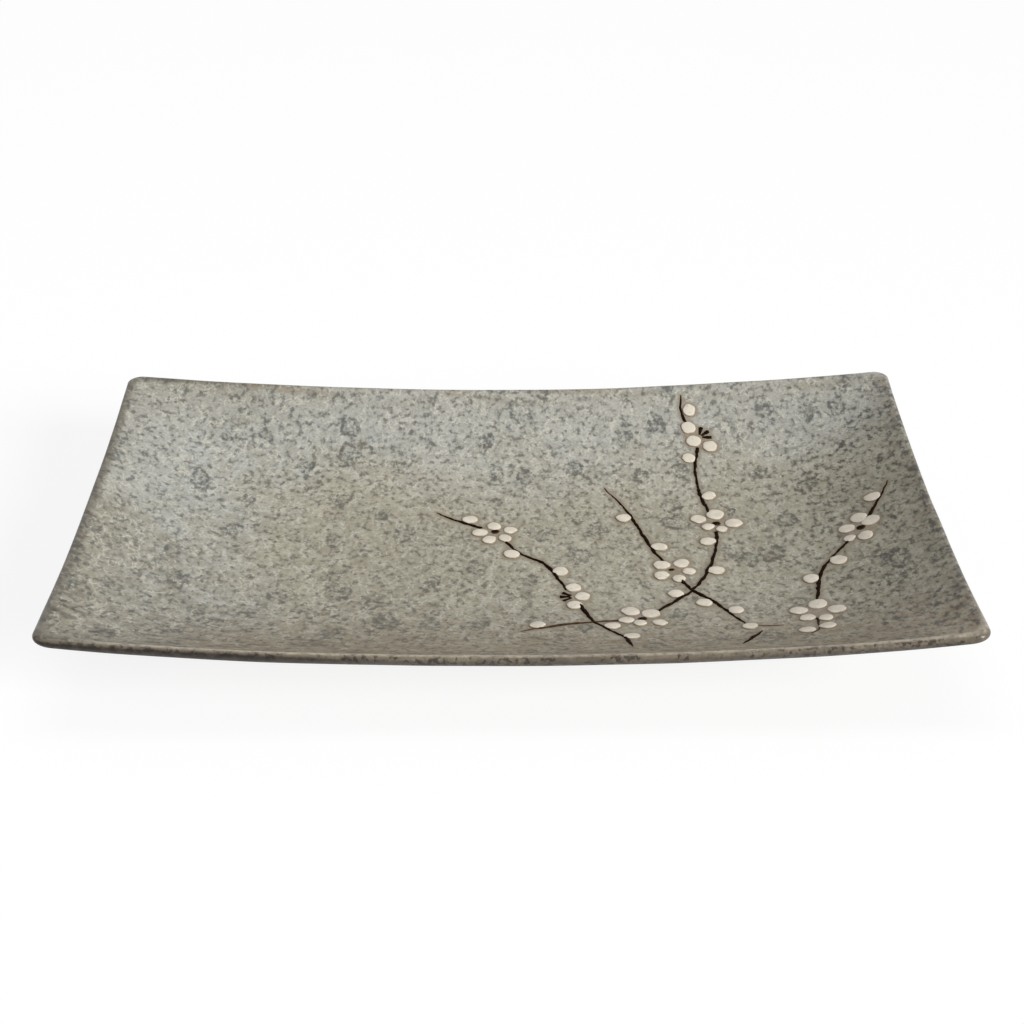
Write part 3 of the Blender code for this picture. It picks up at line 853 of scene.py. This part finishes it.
def lay_dabs(name, dabs, material):
    """Piece of slip dabs on the glaze."""
    slip = bpy.context.scene.plate_slip
    values = {key: [getattr(dab, key) for dab in dabs] for key in Dab._fields[1:]}
    piece = new_piece(name, [(*dab.middle, 0.0) for dab in dabs], [], values)
    inputs = {
        "Dish": bpy.data.objects["glaze"],
        "Edge": slip.dab_edge,
        "Ripple": slip.ripple,
        "Ripple Size": slip.ripple_size,
        "Material": material,
    }
    shape_by(bpy.data.node_groups["Dabs"], piece, inputs, keep=("lift", "thin"))
    return piece


def lay_strokes(name, lines, material):
    """Piece of brush strokes on the glaze. A line is a list of points, each with its width and its ink."""
    slip = bpy.context.scene.plate_slip
    points, edges, widths, inks = [], [], [], []
    for line in lines:
        edges += [(len(points) + step, len(points) + step + 1) for step in range(len(line) - 1)]
        points += [(*point, 0.0) for point, _, _ in line]
        widths += [width for _, width, _ in line]
        inks += [ink for _, _, ink in line]
    piece = new_piece(name, points, edges, {"width": widths, "ink": inks})
    inputs = {
        "Dish": bpy.data.objects["glaze"],
        "Ripple": slip.kink,
        "Ripple Size": slip.kink_size,
        "Stroke Width": slip.stroke_width,
        "Stroke Height": slip.stroke_height,
        "Material": material,
    }
    shape_by(bpy.data.node_groups["Strokes"], piece, inputs, keep=("lift",))
    return piece


def stroke_route(stops):
    """Points of the plan along a stroke."""
    named = {**OPEN_BLOSSOMS, **SIDE_BLOSSOMS, **FORKS}
    return [plan_point(named.get(stop, stop)) for stop in stops]


def open_blossom(name, slip):
    """Dabs of a blossom seen from above: the petals and the wash between them."""
    centre = plan_point(OPEN_BLOSSOMS[name])
    dabs = [Dab(centre, 0.0, 2 * slip.petal_reach, 2 * slip.petal_reach, slip.wash_height, 1.0)]
    for degrees, reach, size in PETALS[name]:
        turn = math.radians(degrees)
        middle = centre + polar(reach / 100 * slip.petal_reach, turn)
        length, width = size / 100 * slip.petal_length, size / 100 * slip.petal_width
        dabs.append(Dab(middle, turn, length, width, slip.petal_height, 0.0))
    return dabs


def side_blossom(name, slip):
    """Dabs of a blossom seen from the side: a cup of three petals over a narrow wash."""
    centre = plan_point(SIDE_BLOSSOMS[name])
    stem = SIDE_TURNS[name]
    wash = centre + polar(slip.back_reach / 2, stem)
    dabs = [Dab(wash, stem, slip.petal_width, 2 * slip.side_reach, slip.wash_height, 1.0)]
    petals = [(slip.back_reach, stem, stem + math.pi / 2)]
    petals += [(slip.side_reach, stem + side, stem + side) for side in (-math.pi / 2, math.pi / 2)]
    for reach, away, turn in petals:
        middle = centre + polar(reach, away)
        dabs.append(Dab(middle, turn, slip.petal_length, slip.petal_width, slip.petal_height, 0.0))
    return dabs


class PLATE_OT_blossoms(bpy.types.Operator):
    """Lay the petals of all blossoms in white slip"""

    bl_idname = "plate.blossoms"
    bl_label = "Blossoms"

    def execute(self, context):
        slip = context.scene.plate_slip
        dabs = []
        for name in OPEN_BLOSSOMS:
            dabs += open_blossom(name, slip)
        for name in SIDE_BLOSSOMS:
            dabs += side_blossom(name, slip)
        blossoms = lay_dabs("blossoms", dabs, white_slip_material())
        settle(blossoms, "white_slip", *nodes_named("_blossom"))
        return {"FINISHED"}


def towards_branch(point, distance):
    """Point moved a distance towards the nearest branch."""
    nearest = None
    for stops in STROKES.values():
        route = stroke_route(stops)
        for start, end in zip(route, route[1:]):
            share = intersect_point_line(point, start, end)[1]
            foot = start.lerp(end, min(max(share, 0.0), 1.0))
            if nearest is None or (foot - point).length < (nearest - point).length:
                nearest = foot
    return point + (nearest - point).normalized() * distance


class PLATE_OT_buds(bpy.types.Operator):
    """Lay the buds in white slip where the solids have them"""

    bl_idname = "plate.buds"
    bl_label = "Buds"

    TURN = math.radians(137.5)  # from one bud to the next, so that no two lie alike
    LARGEST = 1.06  # share of the usual size
    LARGEST_AT = -0.02  # in front of the middle of the plate
    SHRINKING = 1.5  # for each metre away from there

    def execute(self, context):
        slip = context.scene.plate_slip
        names = nodes_named("_bud_")
        dabs = []
        for number, name in enumerate(names):
            middle = towards_branch(middle_of(name), slip.bud_shift)
            size = self.LARGEST - abs(middle.y - self.LARGEST_AT) * self.SHRINKING
            length, width = size * slip.bud_length, size * slip.bud_width
            dabs.append(Dab(middle, number * self.TURN, length, width, slip.bud_height, 0.0))
        buds = lay_dabs("buds", dabs, white_slip_material())
        settle(buds, "white_slip", *names)
        return {"FINISHED"}


class PLATE_OT_hearts(bpy.types.Operator):
    """Dot the dark hearts of the open blossoms"""

    bl_idname = "plate.hearts"
    bl_label = "Hearts"

    def execute(self, context):
        slip = context.scene.plate_slip
        names = nodes_named("_heart")
        dabs = []
        for name in names:
            size = HEART_SIZES.get(name, 1.0)
            length, width = size * slip.heart_length, size * slip.heart_width
            dabs.append(Dab(middle_of(name), 0.0, length, width, slip.heart_height, 0.0))
        hearts = lay_dabs("hearts", dabs, dark_slip_material())
        settle(hearts, "dark_slip", *names)
        return {"FINISHED"}


class PLATE_OT_stamens(bpy.types.Operator):
    """Draw the stamens that fan out of the side blossoms"""

    bl_idname = "plate.stamens"
    bl_label = "Stamens"

    FAN = math.radians(40)
    WIDTHS = (1.0, 1.3, 1.7)  # at the base, halfway and at the tip

    def execute(self, context):
        slip = context.scene.plate_slip
        lines = []
        for name, place in SIDE_BLOSSOMS.items():
            centre = plan_point(place)
            for side in (-1, 0, 1):
                turn = SIDE_TURNS[name] + math.pi + side * self.FAN
                start = centre + polar(slip.stamen_start, turn)
                tip = centre + polar(slip.stamen_end, turn)
                points = (start, (start + tip) / 2, tip)
                lines.append([(point, width, 1.0) for point, width in zip(points, self.WIDTHS)])
        stamens = lay_strokes("stamens", lines, dark_slip_material())
        settle(stamens, "dark_slip", *nodes_named("_stamen_"))
        return {"FINISHED"}


class PLATE_OT_branches(bpy.types.Operator):
    """Draw the branches in dark slip, up to the blossoms and through the forks"""

    bl_idname = "plate.branches"
    bl_label = "Branches"

    FREE_END = 0.5  # share of the width where a stroke ends freely
    KNOT = 1.4  # share of the width at every other point
    DRY_INK = 0.5  # share of the ink in the dry run

    def line(self, name, slip):
        """Points of a stroke, each with its shares of the width and of the ink."""
        stops = STROKES[name]
        route = stroke_route(stops)
        widths = [1.0 if step % 2 else self.KNOT for step in range(len(stops))]
        held = []
        for end, near in ((0, 1), (-1, -2)):
            point = route[end]
            if stops[end] in FORKS:
                widths[end] = 1.0
            elif isinstance(stops[end], str):
                point = point + (route[near] - point).normalized() * slip.petal_reach
            else:
                widths[end] = self.FREE_END
            held.append(point)
        route[0], route[-1] = held
        points = list(zip(route, widths))
        if len(points) == 2:
            points.insert(1, (route[0].lerp(route[1], 0.5), self.KNOT))
        weight = STROKE_WEIGHTS.get(name, 1.0)
        ink = STROKE_INK.get(name, 1.0)
        return [(point, weight * width, ink) for point, width in points]

    def execute(self, context):
        slip = context.scene.plate_slip
        lines = [self.line(name, slip) for name in STROKES]
        lines.append([(plan_point(place), width, self.DRY_INK) for place, width in DRY_RUN])
        branches = lay_strokes("branches", lines, dark_slip_material())
        settle(branches, "dark_slip", *STROKES)
        return {"FINISHED"}


class PLATE_OT_stain(bpy.types.Operator):
    """Mark the glaze with its distance from the slip, which tints it"""

    bl_idname = "plate.stain"
    bl_label = "Slip Stain"

    def execute(self, context):
        points, faces = [], []
        for name in ("blossoms", "buds", "branches", "stamens"):
            mesh = bpy.data.objects[name].data
            first = len(points)
            points += [vertex.co.copy() for vertex in mesh.vertices]
            faces += [[first + corner for corner in polygon.vertices] for polygon in mesh.polygons]
        slip = BVHTree.FromPolygons(points, faces)
        for name in ("glaze", "base_panel"):
            mesh = bpy.data.objects[name].data
            layer = mesh.attributes.new("slip_distance", "FLOAT", "POINT")
            layer.data.foreach_set("value", [slip.find_nearest(vertex.co)[3] for vertex in mesh.vertices])
        return {"FINISHED"}


# Materials


def shader_group(name, sizes, *masks):
    """Shader group that takes a vector and named numbers, and gives masks."""
    inputs = {"Vector": ("NodeSocketVector", None)}
    inputs.update({size: ("NodeSocketFloat", default) for size, default in sizes.items()})
    return new_tree("ShaderNodeTree", name, inputs, {mask: "NodeSocketFloat" for mask in masks})


def stray(where, bend, amount):
    """Place that strays by a coloured noise."""
    inputs = {0: bend, 1: amount, 2: where}
    return field(where.tree, "ShaderNodeVectorMath", inputs, operation="MULTIPLY_ADD")


def speckle_group():
    """Irregular specks, about a size apart, where a noise falls below a level."""
    sizes = {"Size": 0.002, "Level": 0.4, "Softness": 0.08}
    tree, given, end = shader_group("Speckle", sizes, "Mask")
    grain = noise(given["Vector"], given["Size"], detail=2.5, roughness=0.55)
    feed(end.inputs["Mask"], grain.ramp(given["Level"] + given["Softness"], given["Level"]))
    return tree


def lace_group():
    """Thin broken threads between uneven cells."""
    tree, given, end = shader_group("Lace", {"Size": 0.002, "Thread": 0.2}, "Mask")
    where, size = given["Vector"], given["Size"]
    bent = stray(where, noise(where, size * 1.1, output="Color"), vector(size, size, size))
    cells = {"Vector": bent, "Scale": 1.0 / size}
    away = field(tree, "ShaderNodeTexVoronoi", cells, feature="DISTANCE_TO_EDGE")
    threads = away.ramp(given["Thread"], given["Thread"] * 0.2)
    broken = noise(where, size * 1.7, detail=1.0).ramp(0.44, 0.62)
    feed(end.inputs["Mask"], threads * broken)
    return tree


def spots_group():
    """Sparse round spots: a dark ring and a clouded middle."""
    tree, given, end = shader_group("Spots", {"Spacing": 0.02, "Radius": 0.003}, "Ring", "Middle")
    where, radius = given["Vector"], given["Radius"]
    bend = noise(where, radius * 1.6, detail=1.0, output="Color")
    amount = radius * 1.5
    bent = stray(where, bend, vector(amount, amount, 0.0))
    inputs = {"Vector": bent, "Scale": 1.0 / given["Spacing"]}
    cells = add_node(tree, "ShaderNodeTexVoronoi", inputs, voronoi_dimensions="2D")
    chance, girth, _ = axes(Field(tree, cells.outputs["Color"]))
    away = Field(tree, cells.outputs["Distance"]) * given["Spacing"]
    reach = away / (radius * (0.45 + girth * 0.75))
    shown = chance.ramp(0.38, 0.45)
    feed(end.inputs["Ring"], reach.ramp(0.50, 0.80) * reach.ramp(1.15, 0.90) * shown)
    feed(end.inputs["Middle"], reach.ramp(0.95, 0.70) * shown)
    return tree


def use_group(name, inputs, output):
    """Output of a shader group placed in the material of its vector."""
    tree = inputs["Vector"].tree
    node = add_node(tree, "ShaderNodeGroup", {}, node_tree=bpy.data.node_groups[name])
    for socket, value in inputs.items():
        feed(node.inputs[socket], value)
    return Field(tree, node.outputs[output])


def speckle(where, size, level, softness):
    """Mask of specks."""
    inputs = {"Vector": where, "Size": size, "Level": level, "Softness": softness}
    return use_group("Speckle", inputs, "Mask")


def new_material(name):
    """Material with its shader and the object's own coordinates."""
    material = bpy.data.materials.new(name)
    material.use_nodes = True
    tree = material.node_tree
    where = field(tree, "ShaderNodeTexCoord", {}, "Object")
    return material, tree.nodes["Principled BSDF"], where


def dress(shader, colour, roughness, normal):
    """Link a material's colour, roughness and normal to its shader."""
    for name, value in {"Base Color": colour, "Roughness": roughness, "Normal": normal}.items():
        feed(shader.inputs[name], value)


def bump(height, strength, distance):
    inputs = {"Height": height, "Strength": strength, "Distance": distance}
    return field(height.tree, "ShaderNodeBump", inputs)


def layer_of(tree, name):
    """Number that a mesh holds at its points, inside a material."""
    return field(tree, "ShaderNodeAttribute", {}, "Fac", attribute_name=name)


def seen_rays(tree):
    """Mask of the rays that come from the camera, straight or by way of a mirror or a glass."""
    path = tree.nodes.new("ShaderNodeLightPath")
    seen = Field(tree, path.outputs["Is Camera Ray"])
    for ray in ("Is Glossy Ray", "Is Transmission Ray"):
        seen = seen.at_least(Field(tree, path.outputs[ray]))
    return seen


def made_once(make):
    """Let a material be made at its first use and shared after that."""

    def find():
        name = "plate_" + make.__name__.replace("_material", "")
        return bpy.data.materials.get(name) or make(name)

    return find


class Glaze:
    """Masks and noises that the coats of the glaze share. X runs to the right and Y to the back."""

    def __init__(self, where):
        x, y, z = axes(where)
        rim = layer_of(where.tree, "rim")
        grain = vector(x * 1.05, y * 0.80, z)
        drift = (noise(where, 0.03) - 0.5) * 0.07
        self.where = where
        self.rim = rim
        self.grain = grain

        # Warm glaze in front and away from the left end, cool glaze towards the back and at the left end.
        self.warmth = (y + drift).ramp(0.078, 0.030) * (x + drift).ramp(-0.120, -0.070)
        # Painted shade: the glaze darkens towards the right end, with stronger specks and weaker pale threads
        # there.
        self.right_end = (x - (y - 0.045).at_least(0.0) * 1.05 + drift * 0.2).ramp(0.091, 0.121)
        self.left_end = x.ramp(-0.095, -0.130)
        self.left_edge = rim.ramp(-0.28, 0.0) * self.left_end
        self.worn_left = x.ramp(-0.020, -0.085)
        # Painted shade towards the front left and at the back left of the face.
        self.near_left = (y + drift).ramp(0.035, -0.020) * x.ramp(0.020, -0.050)
        self.far_left = y.ramp(0.060, 0.080) * x.ramp(-0.060, -0.110)
        # Painted sheen of reflected light over the back of the face.
        self.far_back = y.ramp(0.020, 0.050) * x.ramp(-0.080, -0.010)
        self.back_edge = y.ramp(0.070, 0.085)
        self.near_front = y.ramp(-0.034, -0.084) * rim.ramp(1.5, 1.0)
        # Painted highlight along the crest of the front rim, fading at the left corner.
        self.front_edge = y.ramp(-0.078, -0.086) * x.ramp(-0.144, -0.115)
        self.wall = rim.ramp(-3.2, -0.1) * rim.ramp(3.0, 1.0)
        self.worn = rim.ramp(-0.8, 0.05)

        self.patches = noise(grain, 0.010)
        self.shaded = noise(grain, 0.006).ramp(0.68, 0.36)
        self.mottle = noise(grain, 0.0030, detail=3.0, roughness=0.6)
        self.mottled = noise(where, 0.0022).ramp(0.36, 0.60)
        self.blots = noise(vector(x * 0.40, y, z), 0.0045, detail=3.0).ramp(0.54, 0.66)
        runs = noise(vector(x * 0.16, y, z), 0.0045, detail=4.0, roughness=0.6).ramp(0.44, 0.64)
        tinted = (self.near_front * (0.62 + runs * 0.38)).at_least(self.worn * runs * 0.7)
        self.tinted = tinted * (1.0 - self.left_end * 0.7)
        stain = layer_of(where.tree, "slip_distance") + (self.patches - 0.5) * 0.002
        self.stained = stain.ramp(0.0019, 0.0)
        self.lace = use_group("Lace", {"Vector": grain, "Size": 0.0026, "Thread": 0.15}, "Mask")

        spots = {"Vector": grain, "Spacing": 0.0185, "Radius": 0.0044}
        self.ring = use_group("Spots", spots, "Ring") * (1.0 - self.stained)
        self.middle = use_group("Spots", spots, "Middle")
        crowd = 0.243 + self.patches.ramp(0.36, 0.68) * 0.062 + self.ring * 0.075
        crowd = crowd + self.middle * 0.035 + self.right_end * 0.020
        specks = speckle(grain, size=0.0021, level=crowd, softness=0.28)
        self.speck = specks * (1.0 - self.stained * 0.8)


def glaze_clouds(glaze, colours):
    """Cool and warm glaze, darker in random clouds and on the wall, with painted shade at the right end,
    towards the front left and at the back left, darker along the left edge, and browner in front.
    """
    colour = blend(glaze.warmth * 0.75, colours.glaze_cool, colours.glaze_warm)
    # The darker glaze at the right end is painted shade, mottled by a noise.
    right_shade_depth = 0.66 - glaze.mottle.ramp(0.38, 0.62) * 0.42
    deep = (glaze.shaded * 0.38).at_least(glaze.wall * 0.40).at_least(glaze.right_end * right_shade_depth)
    # Painted shade towards the front left, most at the left end, and at the back left.
    deep = deep + glaze.near_left * (0.22 + glaze.left_end * 0.20) + glaze.far_left * 0.14
    colour = blend(deep.at_least(glaze.left_edge * 0.85), colour, colours.glaze_deep)
    return blend(glaze.tinted, colour, colours.rust)


def glaze_lace(glaze, colours, colour):
    """Pale threads and clouds, weaker where the glaze is tinted, with a painted sheen over the back of the
    face.
    """
    covered = glaze.stained.at_least(glaze.tinted).at_least(glaze.wall * 0.5)
    # Weaker pale threads at the right end add to its painted shade.
    threads = glaze.lace * (0.72 - glaze.right_end * 0.28)
    # Its back part is a painted sheen.
    light = (glaze.mottle.ramp(0.47, 0.72) * 0.45).at_least(threads) + glaze.far_back * 0.17
    return blend(light * (1.0 - covered * 0.48), colour, colours.lace)


def glaze_specks(glaze, colours, colour):
    """Dark specks, rosettes of fine ones on the round spots, and a fine tooth over all."""
    hue = noise(glaze.where, 0.007, detail=1.0).ramp(0.42, 0.62) * 0.5 + glaze.warmth * 0.5
    speck = blend(hue, colours.speck, colours.brown_speck)
    # Darker specks at the right end are partly painted shade.
    speck = blend(glaze.right_end * 0.45, speck, colours.bark)
    strength = 0.84 + (glaze.right_end + glaze.near_front).at_most(1.0) * 0.14
    colour = blend(glaze.speck * strength, colour, speck)
    fine = speckle(glaze.grain, size=0.0011, level=0.40, softness=0.14)
    rosette = (glaze.middle * 0.45).at_least(glaze.ring * 0.60) * fine * (1.0 - glaze.stained)
    colour = blend(rosette, colour, colours.speck)
    tooth = noise(glaze.where, 0.0009, detail=1.0).ramp(0.62, 0.36)
    return blend(tooth * 0.22, colour, colours.speck)


def glaze_wear(glaze, colours, colour):
    """Dark blots along the edges, a painted highlight on the crest in front, and the stain beside the slip.
    """
    in_front = glaze.near_front * (0.12 + glaze.worn_left * 0.50)
    blotted = (glaze.worn * (0.85 - glaze.back_edge * 0.6)).at_least(in_front)
    blots = (glaze.blots * blotted).at_least(glaze.left_edge * glaze.worn * 0.5)
    colour = blend(blots, colour, colours.rim_dark)
    # Painted highlight on the crest of the front rim, broken by a mottling noise.
    crest = glaze.rim.ramp(-0.10, 0.06) * glaze.rim.ramp(0.38, 0.18) * glaze.front_edge
    colour = blend(crest * (0.28 + glaze.mottled * 0.50), colour, colours.rim_pale)
    return blend(glaze.stained * 0.72, colour, colours.stain)


def glaze_rim(glaze, colours, colour):
    """Glaze that breaks brown over the rim, with dark clay and flecks below it, most at the left. The brown
    and the dark below the crest are partly painted shade under the rim.
    """
    left = glaze.worn_left
    ragged = glaze.rim + (noise(glaze.where, 0.004, detail=3.0) - 0.5) * 0.22
    # Brown break over the rim; its darkness is partly painted shade under the rim.
    broken = ragged.ramp(0.12, 0.34) * glaze.rim.ramp(3.4, 1.5)
    colour = blend(broken * (0.70 + left * 0.25), colour, colours.rim)
    # Dark bare clay below the rim's crest, partly painted shade under the rim.
    bare = ragged.ramp(0.40 - left * 0.10, 0.68 - left * 0.18) * glaze.rim.ramp(2.0, 1.1)
    colour = blend(bare * (0.68 + left * 0.28), colour, colours.rim_dark)
    colour = blend(bare * left * (0.35 + glaze.mottled * 0.5), colour, colours.bark)
    crowd = 0.32 + glaze.patches.ramp(0.38, 0.62) * 0.11
    flecks = speckle(glaze.where, size=0.0019, level=crowd, softness=0.12) * broken
    return blend(flecks * 0.7, colour, colours.bark)


@made_once
def glaze_material(name):
    """Grey glaze: pale lace and dark specks over cool and warm clouds, brown where it breaks on the rim, with
    painted shade, sheen and highlight in places.
    """
    colours = bpy.context.scene.plate_colours
    material, shader, where = new_material(name)
    glaze = Glaze(where)
    colour = glaze_clouds(glaze, colours)
    for add_coat in (glaze_lace, glaze_specks, glaze_wear, glaze_rim):
        colour = add_coat(glaze, colours, colour)
    smooth = glaze.rim.ramp(-0.15, 0.05) * glaze.rim.ramp(0.7, 0.5)
    roughness = 0.36 + noise(where, 0.006) * 0.14 + glaze.speck * 0.08 - smooth * 0.20
    relief = glaze.lace * 0.5 - glaze.speck * 0.4 + noise(where, 0.0035, detail=1.0)
    shader.inputs["Specular IOR Level"].default_value = 0.32
    dress(shader, colour, roughness, bump(relief, strength=0.35, distance=0.00025))
    return material


@made_once
def clay_material(name):
    """Brown fired clay with fine grog and iron specks."""
    colours = bpy.context.scene.plate_colours
    material, shader, where = new_material(name)
    clouds = noise(where, 0.02, detail=3.0).ramp(0.3, 0.7)
    colour = blend(clouds, darker(colours.clay, 0.72), colours.clay)
    grain = speckle(where, size=0.0011, level=0.40, softness=0.05)
    colour = blend(grain * 0.6, colour, colours.grog)
    iron = speckle(where, size=0.0023, level=0.33, softness=0.04)
    colour = blend(iron * 0.8, colour, colours.bark)
    relief = noise(where, 0.0009, detail=3.0) + grain * 0.3
    dress(shader, colour, 0.78 + clouds * 0.12, bump(relief, strength=0.5, distance=0.00025))
    return material


@made_once
def white_slip_material(name):
    """Cream slip, brown where it thins at an outline, glaze-coloured in the wash, and darker towards the back
    as painted shade.
    """
    colours = bpy.context.scene.plate_colours
    material, shader, where = new_material(name)
    lift = layer_of(where.tree, "lift")
    thin = layer_of(where.tree, "thin")
    tint = noise(where, 0.0035)
    # Painted shade: towards the back the petals take the darker cream only.
    full = tint.ramp(0.35, 0.65) * axes(where)[1].ramp(0.080, 0.040)
    colour = blend(full, darker(colours.petal, 0.86), colours.petal)
    freckles = speckle(where, size=0.0012, level=0.31, softness=0.05)
    colour = blend(freckles * 0.45, colour, colours.wash)
    edge = (lift + (tint - 0.5) * 0.3).ramp(0.52, 0.18)
    colour = blend(edge * 0.85, colour, colours.outline)
    patchy = speckle(where, size=0.0018, level=0.47, softness=0.12)
    wash = blend(patchy * 0.85, colours.wash, colours.stain)
    colour = blend(thin, colour, wash)
    dress(shader, colour, 0.32 + tint * 0.15, bump(noise(where, 0.0016), strength=0.3, distance=0.0002))
    return material


@made_once
def dark_slip_material(name):
    """Brown-black slip, browner where the brush runs dry."""
    colours = bpy.context.scene.plate_colours
    material, shader, where = new_material(name)
    ink = layer_of(where.tree, "lift")
    grain = noise(where, 0.0014, detail=3.0)
    dry = (ink + (grain - 0.5) * 0.5).ramp(0.80, 0.40)
    streaks = speckle(where, size=0.0010, level=0.34, softness=0.08)
    colour = blend(dry.at_least(streaks * 0.35), colours.bark, colours.dry_bark)
    shader.inputs["Specular IOR Level"].default_value = 0.02
    dress(shader, colour, 0.55 + grain * 0.2, bump(grain, strength=0.4, distance=0.0002))
    return material


@made_once
def floor_material(name):
    """Matt pale paper with a faint tooth, bright to the camera and with the plate's shadow on it."""
    colours = bpy.context.scene.plate_colours
    material, shader, where = new_material(name)
    tooth = noise(where, 0.002).ramp(0.3, 0.7)
    paper = blend(tooth, darker(colours.floor, 0.985), colours.floor)
    seen = seen_rays(where.tree)
    feed(shader.inputs["Base Color"], blend(seen, paper, darker(colours.floor, FLOOR_SHADED)))
    feed(shader.inputs["Emission Color"], opaque((1.0, 1.0, 1.0)))
    feed(shader.inputs["Emission Strength"], seen * FLOOR_GLOW)
    shader.inputs["Roughness"].default_value = 0.95
    shader.inputs["Specular IOR Level"].default_value = 0.0
    return material


# Stage


class PLATE_OT_stage(bpy.types.Operator):
    """Add the paper floor, the camera and the soft light"""

    bl_idname = "plate.stage"
    bl_label = "Stage"

    FLOOR_SIDE = 12.0
    SENSOR = 36.0  # width of the camera's frame in millimetres
    NEAREST = 0.01  # from where the camera sees
    KEY_FROM = (1.7, -1.3, 0.95)  # direction that the key light comes from
    KEY_ANGLE = math.radians(25)  # its spread, which softens the shadow
    TOP_PLACE = (0.0, -0.12, 1.2)
    TOP_SIZE = (0.8, 0.36)

    def add_floor(self):
        half = self.FLOOR_SIDE / 2
        mesh = bpy.data.meshes.new("paper_floor")
        corners = [(-half, -half, 0.0), (half, -half, 0.0), (half, half, 0.0), (-half, half, 0.0)]
        mesh.from_pydata(corners, [], [(0, 1, 2, 3)])
        mesh.materials.append(floor_material())
        floor = place_object("paper_floor", mesh)

    def add_camera(self, context):
        stage = context.scene.plate_stage
        sizes = context.scene.plate_dish
        section = Section(sizes)
        lens = bpy.data.cameras.new("camera")
        lens.sensor_width = self.SENSOR
        lens.lens = stage.lens
        lens.shift_x = stage.shift_x
        lens.shift_y = stage.shift_y
        lens.clip_start = self.NEAREST
        camera = place_object("camera", lens)
        tilt = Matrix.Rotation(math.pi / 2 - stage.elevation, 4, "X")
        turn = Matrix.Rotation(stage.azimuth, 4, "Z")
        middle = Matrix.Translation((0.0, 0.0, section.face_level + section.coat))
        camera.matrix_world = middle @ turn @ tilt @ Matrix.Translation((0.0, 0.0, stage.distance))
        context.scene.camera = camera

    def add_light(self, context):
        stage = context.scene.plate_stage
        lamp = bpy.data.lights.new("key", "SUN")
        lamp.energy = stage.key_strength
        lamp.angle = self.KEY_ANGLE
        key = place_object("key", lamp)
        key.rotation_euler = Vector(self.KEY_FROM).to_track_quat("Z", "Y").to_euler()
        panel = bpy.data.lights.new("top", "AREA")
        panel.shape = "RECTANGLE"
        panel.size, panel.size_y = self.TOP_SIZE
        panel.energy = stage.top_power
        top = place_object("top", panel)
        top.location = self.TOP_PLACE

    def light_world(self, context):
        """White where it is seen or mirrored, and softer as a light."""
        stage = context.scene.plate_stage
        world = bpy.data.worlds.new("studio")
        world.use_nodes = True
        context.scene.world = world
        tree = world.node_tree
        seen = seen_rays(tree)
        strength = seen * (1.0 - stage.fill_strength) + stage.fill_strength
        background = tree.nodes["Background"]
        background.inputs["Color"].default_value = (1.0, 1.0, 1.0, 1.0)
        feed(background.inputs["Strength"], strength)

    def execute(self, context):
        self.add_floor()
        self.add_camera(context)
        self.add_light(context)
        self.light_world(context)
        context.scene.view_settings.view_transform = "Standard"
        return {"FINISHED"}


class PLATE_PT_looks(bpy.types.Panel):
    """Sizes, colours and makers of the plate's looks"""

    bl_label = "Deep Plate"
    bl_idname = "PLATE_PT_looks"
    bl_space_type = "VIEW_3D"
    bl_region_type = "UI"
    bl_category = "Plate"

    def draw(self, context):
        for label, group in GROUPS.items():
            box = self.layout.box()
            box.label(text=group.__doc__)
            settings = getattr(context.scene, label)
            for name in group.__annotations__:
                box.prop(settings, name)
        for maker in MAKERS:
            self.layout.operator(maker.bl_idname)


GROUPS = {
    "plate_dish": DishSizes,
    "plate_slip": SlipSizes,
    "plate_colours": PlateColours,
    "plate_stage": StageSettings,
}
MAKERS = (
    PLATE_OT_body,
    PLATE_OT_foot,
    PLATE_OT_glaze,
    PLATE_OT_base_glaze,
    PLATE_OT_blossoms,
    PLATE_OT_buds,
    PLATE_OT_branches,
    PLATE_OT_stamens,
    PLATE_OT_hearts,
    PLATE_OT_stain,
    PLATE_OT_stage,
)


def register():
    for group in (*GROUPS.values(), *MAKERS, PLATE_PT_looks):
        bpy.utils.register_class(group)
    for label, group in GROUPS.items():
        setattr(bpy.types.Scene, label, PointerProperty(type=group))


def unregister():
    for label in GROUPS:
        delattr(bpy.types.Scene, label)
    for group in reversed((*GROUPS.values(), *MAKERS, PLATE_PT_looks)):
        bpy.utils.unregister_class(group)


def main():
    register()
    for make_tree in (ring_tree, dab_tree, stroke_tree, speckle_group, lace_group, spots_group):
        make_tree()
    bpy.ops.plate.body()
    bpy.ops.plate.foot()
    bpy.ops.plate.glaze()
    bpy.ops.plate.base_glaze()
    bpy.ops.plate.blossoms()
    bpy.ops.plate.buds()
    bpy.ops.plate.branches()
    bpy.ops.plate.stamens()
    bpy.ops.plate.hearts()
    bpy.ops.plate.stain()
    bpy.ops.plate.stage()


if __name__ == "__main__":
    main()
